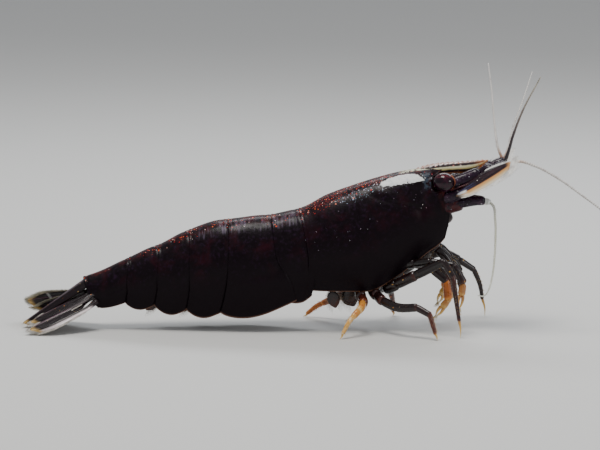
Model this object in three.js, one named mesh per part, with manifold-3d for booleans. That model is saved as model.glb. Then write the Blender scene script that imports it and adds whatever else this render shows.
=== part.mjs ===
// A freshwater dwarf shrimp at life size, standing with its head raised and its tail fan on the floor.
// Millimetres, +Z up, +X towards the head, -Y the animal's right side.
// Every sub-part is a closed solid of its own, set a small gap clear of its neighbours.
import * as THREE from 'three';
import { mergeVertices } from 'three/addons/utils/BufferGeometryUtils.js';
import Module from 'manifold-3d';

const wasm = await Module();
wasm.setup();

// ---- Driving dimensions ----

const bodyPitch = THREE.MathUtils.degToRad(17);
const gap = 0.08;
const thickness = 0.5;
const sides = { right: -1, left: 1 };

// Back, lower margin and half width of the body, each against the distance along the body axis.
const back = [
  [-9.65, 5.6], [-8.7, 5.62], [-6.9, 5.9], [-5.3, 6.08], [-3.6, 6.34], [-2.3, 6.33], [-0.9, 6.08],
  [0.5, 5.83], [2.0, 5.74], [3.2, 5.98], [4.5, 6.06], [6.2, 6.07], [7.4, 5.98], [8.6, 5.75],
];
const carapaceLow = [[1.6, 1.5], [2.8, 1.1], [4.1, 0.76], [5.2, 1.08], [7.1, 1.86], [8.4, 2.5], [8.9, 3.1]];
const halfWidth = [
  [-9.65, 0.58], [-8.7, 0.66], [-7, 0.86], [-5.3, 1.12], [-3.5, 1.36], [-1.5, 1.5], [0.5, 1.5],
  [1.9, 1.58], [3.2, 1.66], [4.6, 1.62], [6.2, 1.46], [7.4, 1.22], [8.4, 0.92], [8.9, 0.8],
];

// The carapace's front edge along the body axis, from the back down to the lower margin.
const carapaceFront = [[0, 8.5], [0.18, 8.34], [0.5, 8.78], [0.72, 8.9], [1, 8.3]];

// The six rings of the abdomen: their joints at the back and at the lower margin, how low the margin
// is at each joint, and the lowest point of each ring's side plates.
const rings = 6;
const jointTop = [2.0, 0.55, -1.6, -3.62, -5.28, -6.88, -9.63];
const jointLow = [0.95, 0.1, -3.3, -4.95, -6.43, -7.78, -9.35];
const jointNotch = [1.42, 1.36, 1.8, 2.5, 3.16, 3.66, 3.9];
const plateLowest = [1.2, 0.98, 1.66, 2.3, 3.0, 3.64];
const jointBow = 0.22;

// The hollow between the side plates, where the swimming legs hang.
const hollow = { from: -7.9, to: 1.6, lowAft: 3.6, lowFore: 0.95, width: 0.66, rise: 1.6, endShare: 0.17 };

const rostrumPath = [[5.3, 0, 7.56], [6.6, 0, 7.9], [7.8, 0, 8.14], [9.05, 0, 8.36]];
const rostrumRadii = [0.34, 0.3, 0.26, 0.2];

// Parts of the face on one side, at their distance from the middle plane.
const eye = { centre: [7.16, 0.98, 7.52], radii: [0.56, 0.5, 0.48] };
const stalkPath = [[6.7, 0.3, 7.2], [6.95, 0.6, 7.36], [7.1, 0.85, 7.46]];
const stalkRadii = [0.3, 0.34];
const antennulePath = [[7.15, 0.46, 7.0], [8.2, 0.52, 7.4], [9.2, 0.56, 7.85], [10.2, 0.6, 8.32]];
const antennuleRadii = [0.42, 0.42, 0.34, 0.26];
const antennaBasePath = [[7.3, 0.7, 6.1], [8.1, 0.95, 6.42], [9.2, 1.05, 6.5]];
const antennaBaseRadii = [0.44, 0.34, 0.25];
const scaleBlade = { base: [7.95, 1.12, 6.78], tip: [11.05, 1.55, 8.38], width: 1.12, lean: [0.75, -0.66] };

// The tail fan. The left blades are carried a little higher than the right ones.
const telsonBlade = { base: [-10.4, 0, 2.1], tip: [-13.85, 0, 0.14], width: 1.15, lean: [1, 0] };
const innerBlade = { base: [-10.3, 0.4, 1.55], tip: [-13.55, 1.0, 0.38], width: 1.0, lean: [0.9, -0.35] };
const outerBlade = { base: [-10.2, 0.62, 1.3], tip: [-13.5, 2.0, 0.16], width: 1.15, lean: [0.9, -0.35] };
const bladeLift = { right: 0, left: 0.75 };

// Swimming legs: where each pair hangs from the body (along the axis, up), and how its blade lies.
const pleopodTops = [[0.42, 1.62], [-0.5, 2.0], [-2.5, 2.15], [-4.2, 2.65], [-5.8, 3.3]];
const pleopodForward = [1.3, 0, -0.75];
const pleopodBackward = [-1.15, 0, -0.7];
const pleopodWidth = 0.8;
const pleopodAcross = [0.42, 0.39, 0.36, 0.33, 0.3];

// Legs from the hip to the tip. Pairs 3 to 5 walk, and end just below the floor, which cuts them flat.
const legRadii = [0.28, 0.3, 0.27, 0.26];
const legPaths = {
  maxilliped_right: [[6.5, -0.3, 4.5], [7.3, -0.42, 3.6], [7.9, -0.5, 2.7], [8.1, -0.55, 1.7]],
  maxilliped_left: [[6.5, 0.3, 4.5], [7.35, 0.42, 3.7], [8.0, 0.52, 2.9], [8.3, 0.56, 2.0]],
  leg_1_right: [[5.8, -0.5, 3.8], [6.6, -0.75, 3.05], [7.3, -0.85, 2.5], [7.4, -0.95, 1.6], [6.8, -1.0, 0.8]],
  leg_1_left: [[5.8, 0.5, 3.8], [6.7, 0.6, 3.2], [7.45, 0.8, 2.6], [7.7, 0.9, 1.7], [7.3, 0.95, 0.95]],
  leg_2_right: [[5.2, -0.8, 3.35], [6.5, -1.5, 3.6], [7.65, -1.8, 3.45], [8.1, -1.9, 2.6], [7.9, -1.9, 1.35]],
  leg_2_left: [[5.2, 0.7, 3.2], [6.5, 1.25, 2.9], [7.35, 1.6, 2.55], [7.5, 1.75, 1.75], [7.1, 1.8, 0.95]],
  leg_3_right: [
    [4.4, -0.75, 2.7], [5.7, -1.75, 2.95], [7.1, -2.4, 3.75], [7.55, -2.65, 3.0],
    [7.7, -2.8, 1.9], [7.85, -2.95, 0.9], [7.92, -3.0, -0.15],
  ],
  leg_3_left: [
    [4.4, 0.8, 2.75], [6.0, 2.05, 3.1], [7.3, 2.4, 3.4], [8.05, 2.5, 3.05],
    [8.85, 2.65, 2.5], [9.2, 2.8, 1.6], [9.45, 3.0, -0.15],
  ],
  leg_4_right: [
    [3.7, -0.75, 2.3], [4.1, -1.6, 1.7], [4.9, -2.4, 1.45], [5.75, -2.9, 1.55],
    [6.4, -3.3, 1.25], [6.75, -3.55, -0.15],
  ],
  leg_4_left: [[3.75, 0.75, 2.3], [4.2, 1.6, 1.9], [4.6, 2.4, 1.45], [4.75, 2.95, 0.8], [4.75, 3.3, -0.15]],
  leg_5_right: [[3, -0.7, 2.3], [3.15, -1.45, 1.65], [3, -2.15, 1.35], [2.5, -2.7, 0.9], [1.95, -3.2, -0.2]],
  leg_5_left: [[3.0, 0.7, 2.3], [2.6, 1.4, 1.6], [1.75, 2.0, 1.15], [0.9, 2.6, 0.65], [0.15, 3.0, -0.15]],
};

// Feelers in lengths that follow one another, each starting a gap past the one before.
const feelerPaths = {
  feeler_outer_right_1: [
    [10.52, -0.72, 8.42], [10.9, -0.82, 8.52], [11.6, -1.1, 8.36], [12.8, -1.65, 7.77], [13.7, -2.1, 7.18],
  ],
  feeler_outer_right_2: [[13.78, -2.14, 7.12], [15.0, -2.75, 6.25], [16.3, -3.35, 5.15], [17.4, -3.85, 4.1]],
  feeler_inner_right: [[10.25, -0.6, 8.72], [10.55, -0.66, 9.75], [10.95, -0.8, 10.9], [11.85, -1.1, 12.75]],
  feeler_outer_left: [[9.95, 0.65, 8.7], [9.78, 1.8, 10.15], [9.7, 2.7, 11.5], [9.55, 3.6, 12.9]],
  feeler_inner_left: [[10.52, 0.8, 8.42], [10.75, 1.6, 9.7], [11.3, 2.6, 11.2], [11.75, 3.4, 12.5]],
  antenna_right_1: [[9.5, -1.1, 6.45], [9.64, -1.55, 5.8], [9.64, -2.3, 4.7], [9.5, -3.4, 3.7]],
  antenna_right_2: [[9.48, -3.5, 3.64], [9.25, -4.9, 3.0], [8.9, -6.5, 2.8], [8.5, -7.9, 3.05]],
  antenna_left_1: [[9.5, 1.1, 6.45], [9.38, 1.75, 6.15], [8.8, 2.55, 5.95], [7.6, 3.4, 5.7], [5.2, 4.5, 5.1]],
  antenna_left_2: [[5.1, 4.54, 5.12], [2.5, 5.5, 4.5], [-1, 6.5, 3.65], [-4, 7.2, 2.9]],
};

const shell = { color: 0x120a0e, roughness: 0.28, metalness: 0 };
const flesh = { color: 0x2a1512, roughness: 0.45, metalness: 0 };
const cornea = { color: 0x0a0508, roughness: 0.08, metalness: 0 };
const feeler = { color: 0x9a9080, roughness: 0.5, metalness: 0 };

// ---- Tools ----

// A smooth function through a few [position, value] pairs.
function through(pairs) {
  const curve = new THREE.CubicInterpolant(pairs.map((pair) => pair[0]), pairs.map((pair) => pair[1]), 1);
  return (position) => curve.evaluate(position)[0];
}

const backAt = through(back);
const widthAt = through(halfWidth);
const carapaceLowAt = through(carapaceLow);
const carapaceFrontAt = through(carapaceFront);

// A point given along the body axis, across it and square to it, in the model's own frame.
function onBody(along, across, up) {
  return new THREE.Vector3(along, across, up).applyAxisAngle(new THREE.Vector3(0, 1, 0), -bodyPitch);
}

// A mirror for points: it puts them on the given side of the body.
function mirrorTo(side) {
  return ([x, y, z]) => [x, Math.abs(y) * sides[side], z];
}

// Joins a geometry's shared points and turns its faces outwards.
function closed(geometry) {
  geometry.deleteAttribute('normal');
  geometry.deleteAttribute('uv');
  const joined = mergeVertices(geometry, 1e-4);
  const index = joined.index.array;
  const corner = (place) => new THREE.Vector3().fromBufferAttribute(joined.attributes.position, index[place]);
  let volume = 0;
  for (let face = 0; face < index.length; face += 3) {
    volume += corner(face).dot(corner(face + 1).cross(corner(face + 2)));
  }
  if (volume < 0) {
    index.reverse();
  }
  return joined;
}

// A skin round a run of rings. place(t, angle, reach) puts each point; reach is 0 at an end's middle.
function loft(around, along, place) {
  const geometry = new THREE.CylinderGeometry(1, 1, 1, around, along);
  const points = geometry.attributes.position;
  for (let i = 0; i < points.count; i += 1) {
    const [x, y, z] = [points.getX(i), points.getY(i), points.getZ(i)];
    const spot = place(y + 0.5, Math.atan2(z, x), Math.hypot(x, z));
    points.setXYZ(i, spot.x, spot.y, spot.z);
  }
  return closed(geometry);
}

function toSolid(geometry) {
  return new wasm.Manifold(new wasm.Mesh({
    numProp: 3,
    vertProperties: new Float32Array(geometry.attributes.position.array),
    triVerts: new Uint32Array(geometry.index.array),
  }));
}

function fromSolid(shape) {
  const result = shape.getMesh();
  const geometry = new THREE.BufferGeometry();
  geometry.setAttribute('position', new THREE.BufferAttribute(result.vertProperties, 3));
  geometry.setIndex(new THREE.BufferAttribute(result.triVerts, 1));
  return geometry;
}

function cut(geometry, ...tools) {
  return fromSolid(tools.reduce((rest, tool) => rest.subtract(toSolid(tool)), toSolid(geometry)));
}

// ---- Shapes. `grow` makes a shape larger all round, to cut its neighbours clear of it. ----

// One point of a body ring: rounded over the back, drawn in towards the lower margin. A larger
// squareness keeps the flanks down to that margin, as side plates do.
function ringPoint(along, angle, reach, low, squareness, grow) {
  const top = backAt(along) + grow;
  const bottom = low - grow;
  const middle = bottom + (top - bottom) * 0.46;
  const lift = Math.sin(angle);
  const flank = Math.sign(Math.cos(angle)) * Math.abs(Math.cos(angle)) ** 0.82;
  const drawnIn = lift < 0 ? 1 - 0.36 * lift ** 4 : 1;
  const height = lift < 0 ? (bottom - middle) * Math.abs(lift) ** (1 - squareness) : (top - middle) * lift;
  const across = (widthAt(along) + grow) * flank * drawnIn;
  return onBody(along, across * reach, middle + height * reach);
}

// How far down the flank a ring's point lies: 0 on the back, 1 at the lower margin.
function depthOf(angle, reach) {
  return reach < 1e-6 ? 0.5 : (1 - Math.sin(angle)) / 2;
}

// Where a joint between two rings lies, at a depth down the flank. Joint 0 is the carapace's hind edge.
function jointAt(joint, depth) {
  const bow = joint > 0 && joint < rings ? jointBow * Math.sin(Math.PI * depth) : 0;
  return THREE.MathUtils.lerp(jointTop[joint], jointLow[joint], depth ** 2) - bow;
}

function carapace(grow) {
  return loft(24, 11, (t, angle, reach) => {
    const depth = depthOf(angle, reach);
    const rear = jointAt(0, depth) + 1.5 * gap - grow;
    const along = THREE.MathUtils.lerp(rear, carapaceFrontAt(depth) + grow, t);
    return ringPoint(along, angle, reach, carapaceLowAt(along), 0.1, grow);
  });
}

// Lower margin of an abdominal ring: a rounded plate between two notches.
function plateLow(ring, share) {
  const notch = THREE.MathUtils.lerp(jointNotch[ring], jointNotch[ring - 1], share);
  return notch - (notch - plateLowest[ring - 1]) * Math.sin(Math.PI * share) ** 0.7;
}

function abdomenRing(ring, grow) {
  return loft(20, 5, (t, angle, reach) => {
    const depth = depthOf(angle, reach);
    const rear = jointAt(ring, depth) + gap / 2 - grow;
    const front = jointAt(ring - 1, depth) - gap / 2 + grow;
    const along = THREE.MathUtils.lerp(rear, front, t);
    return ringPoint(along, angle, reach, plateLow(ring, t), 0.45, grow);
  });
}

function underHollow() {
  return loft(10, 5, (t, angle, reach) => {
    const along = THREE.MathUtils.lerp(hollow.from, hollow.to, t);
    const low = THREE.MathUtils.lerp(hollow.lowAft, hollow.lowFore, t ** 0.7);
    const fromEnd = Math.min(t, 1 - t) / hollow.endShare;
    const rise = hollow.rise * Math.min(1, 0.1 + 0.9 * fromEnd);
    const across = widthAt(along) * hollow.width * Math.cos(angle) * reach;
    return onBody(along, across, low + rise * Math.sin(angle) * reach);
  });
}

// A tapered limb round a smooth path. Radii are given at equal steps along it.
function limb(points, radii, grow = 0) {
  const path = new THREE.CatmullRomCurve3(points.map((point) => new THREE.Vector3(...point)));
  path.curveType = 'centripetal';
  const steps = (points.length - 1) * 2;
  const frames = path.computeFrenetFrames(steps, false);
  const radiusAt = through(radii.map((radius, i) => [i / (radii.length - 1), radius + grow]));
  return loft(8, steps, (t, angle, reach) => {
    const step = Math.round(t * steps);
    const radius = radiusAt(t) * reach;
    return path.getPointAt(t)
      .addScaledVector(frames.normals[step], radius * Math.cos(angle))
      .addScaledVector(frames.binormals[step], radius * Math.sin(angle));
  });
}

// A flat blade from base to tip, leaning across the body. shape(t) is its share of the full width.
function blade({ base, tip, width, lean }, shape, grow = 0) {
  const start = new THREE.Vector3(...base);
  const end = new THREE.Vector3(...tip);
  const length = end.clone().sub(start).normalize();
  const normal = length.clone().cross(new THREE.Vector3(0, ...lean)).normalize();
  const across = normal.clone().cross(length);
  return loft(10, 5, (t, angle, reach) => start.clone().lerp(end, t)
    .addScaledVector(across, (width / 2 * shape(t) + grow) * Math.cos(angle) * reach)
    .addScaledVector(normal, (thickness / 2 + grow) * Math.sin(angle) * reach));
}

function oval(t) {
  return Math.max(0.3, Math.sin(Math.PI * (0.08 + 0.84 * t)) ** 0.6);
}

function wedge(t) {
  return 1 - 0.52 * t;
}

// The same blade on one side of the body, its tip raised by `lift`.
function sideBlade(dimensions, side, lift) {
  const [x, y, z] = mirrorTo(side)(dimensions.tip);
  const [outward, upward] = dimensions.lean;
  return {
    ...dimensions,
    base: mirrorTo(side)(dimensions.base),
    tip: [x, y, z + lift],
    lean: [outward * sides[side], upward],
  };
}

function eyeball(side, grow) {
  const ball = new THREE.SphereGeometry(1, 12, 9);
  ball.scale(...eye.radii.map((radius) => radius + grow));
  ball.translate(...mirrorTo(side)(eye.centre));
  return closed(ball);
}

function floorBlock() {
  const depth = 8;
  const block = new THREE.BoxGeometry(60, 60, depth);
  block.translate(0, 0, -depth / 2);
  return closed(block);
}

// ---- The model ----

const model = new THREE.Group();
const floor = floorBlock();

function addMesh(name, geometry, finish) {
  geometry.computeVertexNormals();
  const mesh = new THREE.Mesh(geometry, new THREE.MeshStandardMaterial(finish));
  mesh.name = name;
  model.add(mesh);
}

function addBody() {
  addMesh('carapace', carapace(0), shell);
  addMesh('rostrum', cut(limb(rostrumPath, rostrumRadii), carapace(gap)), shell);
  for (let ring = 1; ring <= rings; ring += 1) {
    addMesh(`abdomen_${ring}`, cut(abdomenRing(ring, 0), underHollow()), shell);
  }
}

// Eye, feeler bases and antennal scale of one side, each cut clear of those before it.
function addFace(side) {
  const at = mirrorTo(side);
  const clear = [carapace(gap), limb(rostrumPath, rostrumRadii, gap)];
  const addNext = (name, shape, finish) => {
    addMesh(`${name}_${side}`, cut(shape(0), ...clear), finish);
    clear.push(shape(gap));
  };
  const scale = sideBlade(scaleBlade, side, 0);
  addNext('eye', (grow) => eyeball(side, grow), cornea);
  addNext('eyestalk', (grow) => limb(stalkPath.map(at), stalkRadii, grow), flesh);
  addNext('antennule', (grow) => limb(antennulePath.map(at), antennuleRadii, grow), shell);
  addNext('antenna_base', (grow) => limb(antennaBasePath.map(at), antennaBaseRadii, grow), shell);
  addNext('antennal_scale', (grow) => blade(scale, oval, grow), shell);
}

// The telson in the middle, then an inner and an outer blade on each side.
function addTailFan() {
  addMesh('telson', cut(blade(telsonBlade, wedge), abdomenRing(rings, gap), floor), shell);
  for (const [side, lift] of Object.entries(bladeLift)) {
    const clear = [abdomenRing(rings, gap), blade(telsonBlade, wedge, gap), floor];
    const inner = sideBlade(innerBlade, side, lift * 0.7);
    const outer = sideBlade(outerBlade, side, lift);
    addMesh(`tail_blade_inner_${side}`, cut(blade(inner, oval), ...clear), shell);
    addMesh(`tail_blade_outer_${side}`, cut(blade(outer, oval), ...clear, blade(inner, oval, gap)), shell);
  }
}

function addLimbs() {
  for (const [name, points] of Object.entries(legPaths)) {
    addMesh(name, cut(limb(points, legRadii), carapace(gap), floor), flesh);
  }
  for (const [name, points] of Object.entries(feelerPaths)) {
    addMesh(name, limb(points, [thickness / 2, thickness / 2]), feeler);
  }
}

// Five pairs of flat swimming legs: the first points forwards, the others back.
function addPleopods(side) {
  pleopodTops.forEach(([along, up], i) => {
    const base = onBody(along, pleopodAcross[i] * sides[side], up);
    const reach = new THREE.Vector3(...(i === 0 ? pleopodForward : pleopodBackward));
    const tip = base.clone().add(reach);
    const length = reach.clone().normalize();
    const upright = new THREE.Vector3(-length.z, 0, length.x);
    addMesh(`pleopod_${i + 1}_${side}`, uprightBlade(base, tip, upright), flesh);
  });
}

// A swimming leg's blade: its width stands upright, along the body's middle plane.
function uprightBlade(base, tip, upright) {
  return loft(10, 5, (t, angle, reach) => base.clone().lerp(tip, t)
    .addScaledVector(upright, pleopodWidth / 2 * oval(t) * Math.cos(angle) * reach)
    .add(new THREE.Vector3(0, thickness / 2 * Math.sin(angle) * reach, 0)));
}

addBody();
addTailFan();
addLimbs();
for (const side of Object.keys(sides)) {
  addFace(side);
  addPleopods(side);
}

// The origin is the middle of the model's outline on the floor.
const extent = new THREE.Box3().setFromObject(model);
const middle = extent.getCenter(new THREE.Vector3());
model.position.set(-middle.x, -middle.y, -extent.min.z);

export default model;
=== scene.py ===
# Aquarium dwarf shrimp, a still life-size model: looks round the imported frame.
import math
import random
from bisect import bisect_right

import bmesh
import bpy
import numpy as np
from mathutils import Matrix, Vector


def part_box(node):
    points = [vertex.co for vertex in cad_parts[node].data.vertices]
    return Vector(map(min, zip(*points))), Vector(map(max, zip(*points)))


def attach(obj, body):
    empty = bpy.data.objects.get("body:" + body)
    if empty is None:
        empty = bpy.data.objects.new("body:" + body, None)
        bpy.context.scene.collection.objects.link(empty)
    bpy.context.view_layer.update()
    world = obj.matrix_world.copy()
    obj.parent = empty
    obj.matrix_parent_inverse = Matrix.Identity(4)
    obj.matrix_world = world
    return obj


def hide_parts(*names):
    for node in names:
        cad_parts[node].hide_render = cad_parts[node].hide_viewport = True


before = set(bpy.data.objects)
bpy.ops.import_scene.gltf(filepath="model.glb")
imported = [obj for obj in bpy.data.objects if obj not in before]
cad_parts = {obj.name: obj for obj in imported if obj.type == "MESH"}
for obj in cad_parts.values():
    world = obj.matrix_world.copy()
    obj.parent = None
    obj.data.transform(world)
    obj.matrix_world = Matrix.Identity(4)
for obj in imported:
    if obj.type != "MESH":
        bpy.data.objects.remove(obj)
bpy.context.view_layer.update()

random.seed(7)
sides = {"right": -1, "left": 1}
fullTurn = 2 * math.pi
millimetre = 0.001

# Where things are. Shapes are drawn in millimetres from the body's own origin.
body = {
    "pitch": 17,  # degrees, head up
    "back": [(-9.65, 5.6), (-8.7, 5.62), (-6.9, 5.9), (-5.3, 6.08), (-3.6, 6.34), (-2.3, 6.33),
             (-0.9, 6.08), (0.5, 5.83), (2.0, 5.74), (3.2, 5.98), (4.5, 6.06), (6.2, 6.07), (7.4, 5.98),
             (8.5, 5.79), (9.2, 5.64), (10.0, 5.42)],
    "carapaceLow": [(1.0, 1.9), (1.6, 1.68), (2.8, 1.3), (4.1, 0.96), (5.2, 1.2), (7.1, 1.9),
                    (8.4, 2.5), (8.9, 3.1)],
    "halfWidth": [(-9.65, 0.58), (-8.7, 0.66), (-7, 0.86), (-5.3, 1.12), (-3.5, 1.36), (-1.5, 1.5),
                  (0.5, 1.5), (1.9, 1.58), (3.2, 1.66), (4.6, 1.62), (6.2, 1.46), (7.4, 1.22),
                  (8.4, 0.92), (8.9, 0.8)],
    "widestAt": 0.46,  # share of the height
    "shellWall": 0.05,
    "lowerTurn": 0.85,  # how far a plate's section turns past its widest point, radians
}
eye = {
    "centre": (7.16, 0.98, 7.52),
    "radii": (0.56, 0.5, 0.48),
    "foremost": 10,  # degrees from the CAD eye's middle to its front ring
}

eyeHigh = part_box("eye_right")[1]
noseLow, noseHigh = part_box("rostrum")
foremostRing = math.cos(math.radians(eye["foremost"]))
shift = Vector((
    eyeHigh.x * 1000 - eye["centre"][0] - eye["radii"][0] * foremostRing,
    (noseLow.y + noseHigh.y) * 500,
    0,
))
intoFrame = Matrix.Scale(millimetre, 4) @ Matrix.Translation(shift)
print("body origin in the frame, mm:", [round(value, 3) for value in shift])


# A smooth function through (position, value) pairs. Past its ends it runs straight on.
def through(pairs):
    positions = [pair[0] for pair in pairs]
    values = [pair[1] for pair in pairs]
    slopes = [float(slope) for slope in np.gradient(values, positions)]

    def at(position):
        if position <= positions[0]:
            return values[0] + slopes[0] * (position - positions[0])
        if position >= positions[-1]:
            return values[-1] + slopes[-1] * (position - positions[-1])
        i = bisect_right(positions, position) - 1
        span = positions[i + 1] - positions[i]
        t = (position - positions[i]) / span
        left = 1 - t
        return (
            values[i] * (1 + 2 * t) * left * left
            + values[i + 1] * t * t * (3 - 2 * t)
            + slopes[i] * span * t * left * left
            - slopes[i + 1] * span * t * t * left
        )

    return at


def lerp(a, b, t):
    return a + (b - a) * t


def bump(value, centre, width):
    return math.exp(-(((value - centre) / width) ** 2))


def smoothStep(value, low, high):
    t = min(1.0, max(0.0, (value - low) / (high - low)))
    return t * t * (3 - 2 * t)


# t from 0 to 1, slowed towards both ends.
def eased(t, ease):
    return t - ease * math.sin(fullTurn * t) / fullTurn


backAt, widthAt, carapaceLowAt = (through(body[key]) for key in ("back", "halfWidth", "carapaceLow"))
pitchCos, pitchSin = math.cos(math.radians(body["pitch"])), math.sin(math.radians(body["pitch"]))


# A point given along the body axis, across it and square to it.
def onBody(along, across, up):
    return Vector((along * pitchCos - up * pitchSin, across, along * pitchSin + up * pitchCos))


# Points are listed for the left side; side is 1 for the left and -1 for the right.
def mirrored(point, side):
    return Vector((point[0], point[1] * side, point[2]))


def onSide(points, side):
    return [(x, y * side, z) for x, y, z in points]


# An empty mesh, with the UV map that its grids fill.
def newMesh():
    bm = bmesh.new()
    bm.loops.layers.uv.new("surface")
    return bm


# A sheet or tube: a grid whose points go where place(across, along) says, both from 0 to 1.
# place gives a point, or a point and one value for each mask. wrap joins the sheet's two sides.
def shapedGrid(bm, columns, rows, place, wrap=True, masks=()):
    layers = [bm.verts.layers.float.get(mask) or bm.verts.layers.float.new(mask) for mask in masks]
    made = bmesh.ops.create_grid(bm, x_segments=columns, y_segments=rows, size=0.5, calc_uvs=True)["verts"]
    for vert in made:
        spot = place(vert.co.x + 0.5, vert.co.y + 0.5)
        if masks:
            for layer, value in zip(layers, spot[1:]):
                vert[layer] = value
            spot = spot[0]
        vert.co = spot
    if wrap:
        bmesh.ops.remove_doubles(bm, verts=made, dist=1e-5)


# Puts a finished mesh into the scene. wall and levels thicken and smooth an open sheet.
def addMesh(mesh, name, material, slot, nodes=(), wall=0.0, offset=-1.0, levels=0):
    mesh.polygons.foreach_set("use_smooth", [True] * len(mesh.polygons))
    mesh.materials.append(material)
    piece = bpy.data.objects.new(name, mesh)
    bpy.context.scene.collection.objects.link(piece)
    if wall:
        thicken = piece.modifiers.new("wall", "SOLIDIFY")
        thicken.thickness = wall * millimetre
        thicken.offset = offset
        thicken.use_even_offset = False
    if levels:
        smooth = piece.modifiers.new("smooth", "SUBSURF")
        smooth.levels = levels
        smooth.render_levels = levels
    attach(piece, "root")
    if nodes:
        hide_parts(*nodes)


# The same for a shape drawn in millimetres. Sheets already face outwards, so they aren't turned.
def addPiece(bm, name, material, slot, nodes=(), closed=True, **sheet):
    if closed:
        bmesh.ops.recalc_face_normals(bm, faces=bm.faces)
    bmesh.ops.transform(bm, matrix=intoFrame, verts=bm.verts)
    mesh = bpy.data.meshes.new(name)
    bm.to_mesh(mesh)
    bm.free()
    addMesh(mesh, name, material, slot, nodes, **sheet)


# Steps along a smooth path through a few points: (place, forwards, sideways, upwards) at each.
def pathSteps(points, count):
    spots = [Vector(point) for point in points]
    reach = [0.0]
    for here, there in zip(spots, spots[1:]):
        reach.append(reach[-1] + (there - here).length)
    curves = [through([(r, spot[axis]) for r, spot in zip(reach, spots)]) for axis in range(3)]
    places = [Vector([curve(reach[-1] * i / count) for curve in curves]) for i in range(count + 1)]
    steps = []
    top = None
    for i, place in enumerate(places):
        forwards = (places[min(i + 1, count)] - places[max(i - 1, 0)]).normalized()
        if top is None:
            top = Vector((0, 0, 1)) if abs(forwards.z) < 0.9 else Vector((-1, 0, 0))
        top = (top - forwards * top.dot(forwards)).normalized()
        steps.append((place, forwards, forwards.cross(top), top))
    return steps


# A closed tube round a path. sizeAt(t) gives half width and half height; toneAt(t) a mask value.
def tube(bm, points, sizeAt, around, along, toneAt=None, ease=0.0):
    steps = pathSteps(points, along * 4)

    def place(u, v):
        t = eased(v, ease)
        spot, _, sideways, upwards = steps[round(t * along * 4)]
        wide, high = sizeAt(t)
        angle = fullTurn * u
        point = spot + sideways * (wide * math.cos(angle)) + upwards * (high * math.sin(angle))
        return (point, toneAt(t)) if toneAt else point

    shapedGrid(bm, around, along, place, masks=("tone",) if toneAt else ())


# Rounds the two ends of a tube: a share of the full size at t, where cap is an end's length share.
def capped(t, cap):
    fromEnd = min(t, 1 - t) / cap
    return math.sqrt(max(0.0, 1 - (1 - min(1.0, fromEnd)) ** 2))


# A straight round spike, tapered to a tip as thick as the point.
def spike(bm, root, tip, thick, point, around, along, tone, cap=None):
    def size(t):
        return (thick * (1 - t) * (capped(t, cap) if cap else 1) + point,) * 2

    tube(bm, [root, (root + tip) / 2, tip], size, around, along, lambda t: tone)


bench = {}  # the material and the node tree begun last, which the node tools work on


# Sets a socket to a number or colour, or joins it to another socket.
def plug(value, socket):
    if isinstance(value, bpy.types.NodeSocket):
        bench["tree"].links.new(value, socket)
    else:
        socket.default_value = (*value, 1) if socket.type == "RGBA" else value


def node(kind, inputs=None, **settings):
    made = bench["tree"].nodes.new("ShaderNode" + kind)
    for key, value in settings.items():
        setattr(made, key, value)
    for key, value in (inputs or {}).items():
        plug(value, made.inputs[key])
    return made


def maths(operation, a, b=0.0, clamp=False):
    return node("Math", {0: a, 1: b}, operation=operation, use_clamp=clamp).outputs[0]


def plus(a, b):
    return maths("ADD", a, b)


def minus(a, b):
    return maths("SUBTRACT", a, b)


def inverse(mask):
    return minus(1.0, mask)


# The product of two or more values: for masks, where all of them hold.
def times(*values):
    result = values[0]
    for value in values[1:]:
        result = maths("MULTIPLY", result, value)
    return result


# A texture's swing to either side of its middle.
def swing(texture, amount):
    return times(minus(texture, 0.5), amount)


# 0 to 1 as value goes from low to high, with soft ends.
def rise(value, low, high):
    inputs = {"Value": value, "From Min": low, "From Max": high}
    return node("MapRange", inputs, interpolation_type="SMOOTHSTEP").outputs["Result"]


# 1 between low and high, fading over soft on either side.
def between(value, low, high, soft):
    return times(rise(value, low - soft, low), inverse(rise(value, high, high + soft)))


# Lays paint over a colour where mask is 1, no stronger than amount.
def over(color, mask, paint, amount=None):
    factor = mask if amount is None else times(mask, amount)
    return node("Mix", {0: factor, 6: color, 7: paint}, data_type="RGBA").outputs[2]


# Stops are (position, red, green, blue).
def ramp(factor, stops):
    made = node("ValToRGB", {"Fac": factor})
    elements = made.color_ramp.elements
    while len(elements) < len(stops):
        elements.new(0.5)
    for element, (position, *color) in zip(elements, stops):
        element.position = position
        element.color = (*color, 1)
    return made.outputs["Color"]


# A value that follows (position, value) pairs.
def follow(value, pairs):
    first, last = pairs[0][0], pairs[-1][0]
    share = node("MapRange", {"Value": value, "From Min": first, "From Max": last}).outputs["Result"]
    return ramp(share, [((position - first) / (last - first), *[height] * 3) for position, height in pairs])


def attribute(name):
    return node("Attribute", attribute_name=name, attribute_type="GEOMETRY").outputs["Fac"]


def stretched(vector, scale, turn=0.0):
    return node("Mapping", {"Vector": vector, "Rotation": (0, turn, 0), "Scale": scale}).outputs["Vector"]


def partsOf(vector):
    return node("SeparateXYZ", {0: vector}).outputs


def surfacePlace():
    return node("UVMap", uv_map="surface").outputs["UV"]


def noiseAt(vector, scale, detail=3.0, roughness=0.55, distortion=0.0):
    inputs = {"Vector": vector, "Scale": scale, "Detail": detail, "Roughness": roughness,
              "Distortion": distortion}
    return node("TexNoise", inputs).outputs["Fac"]


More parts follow.
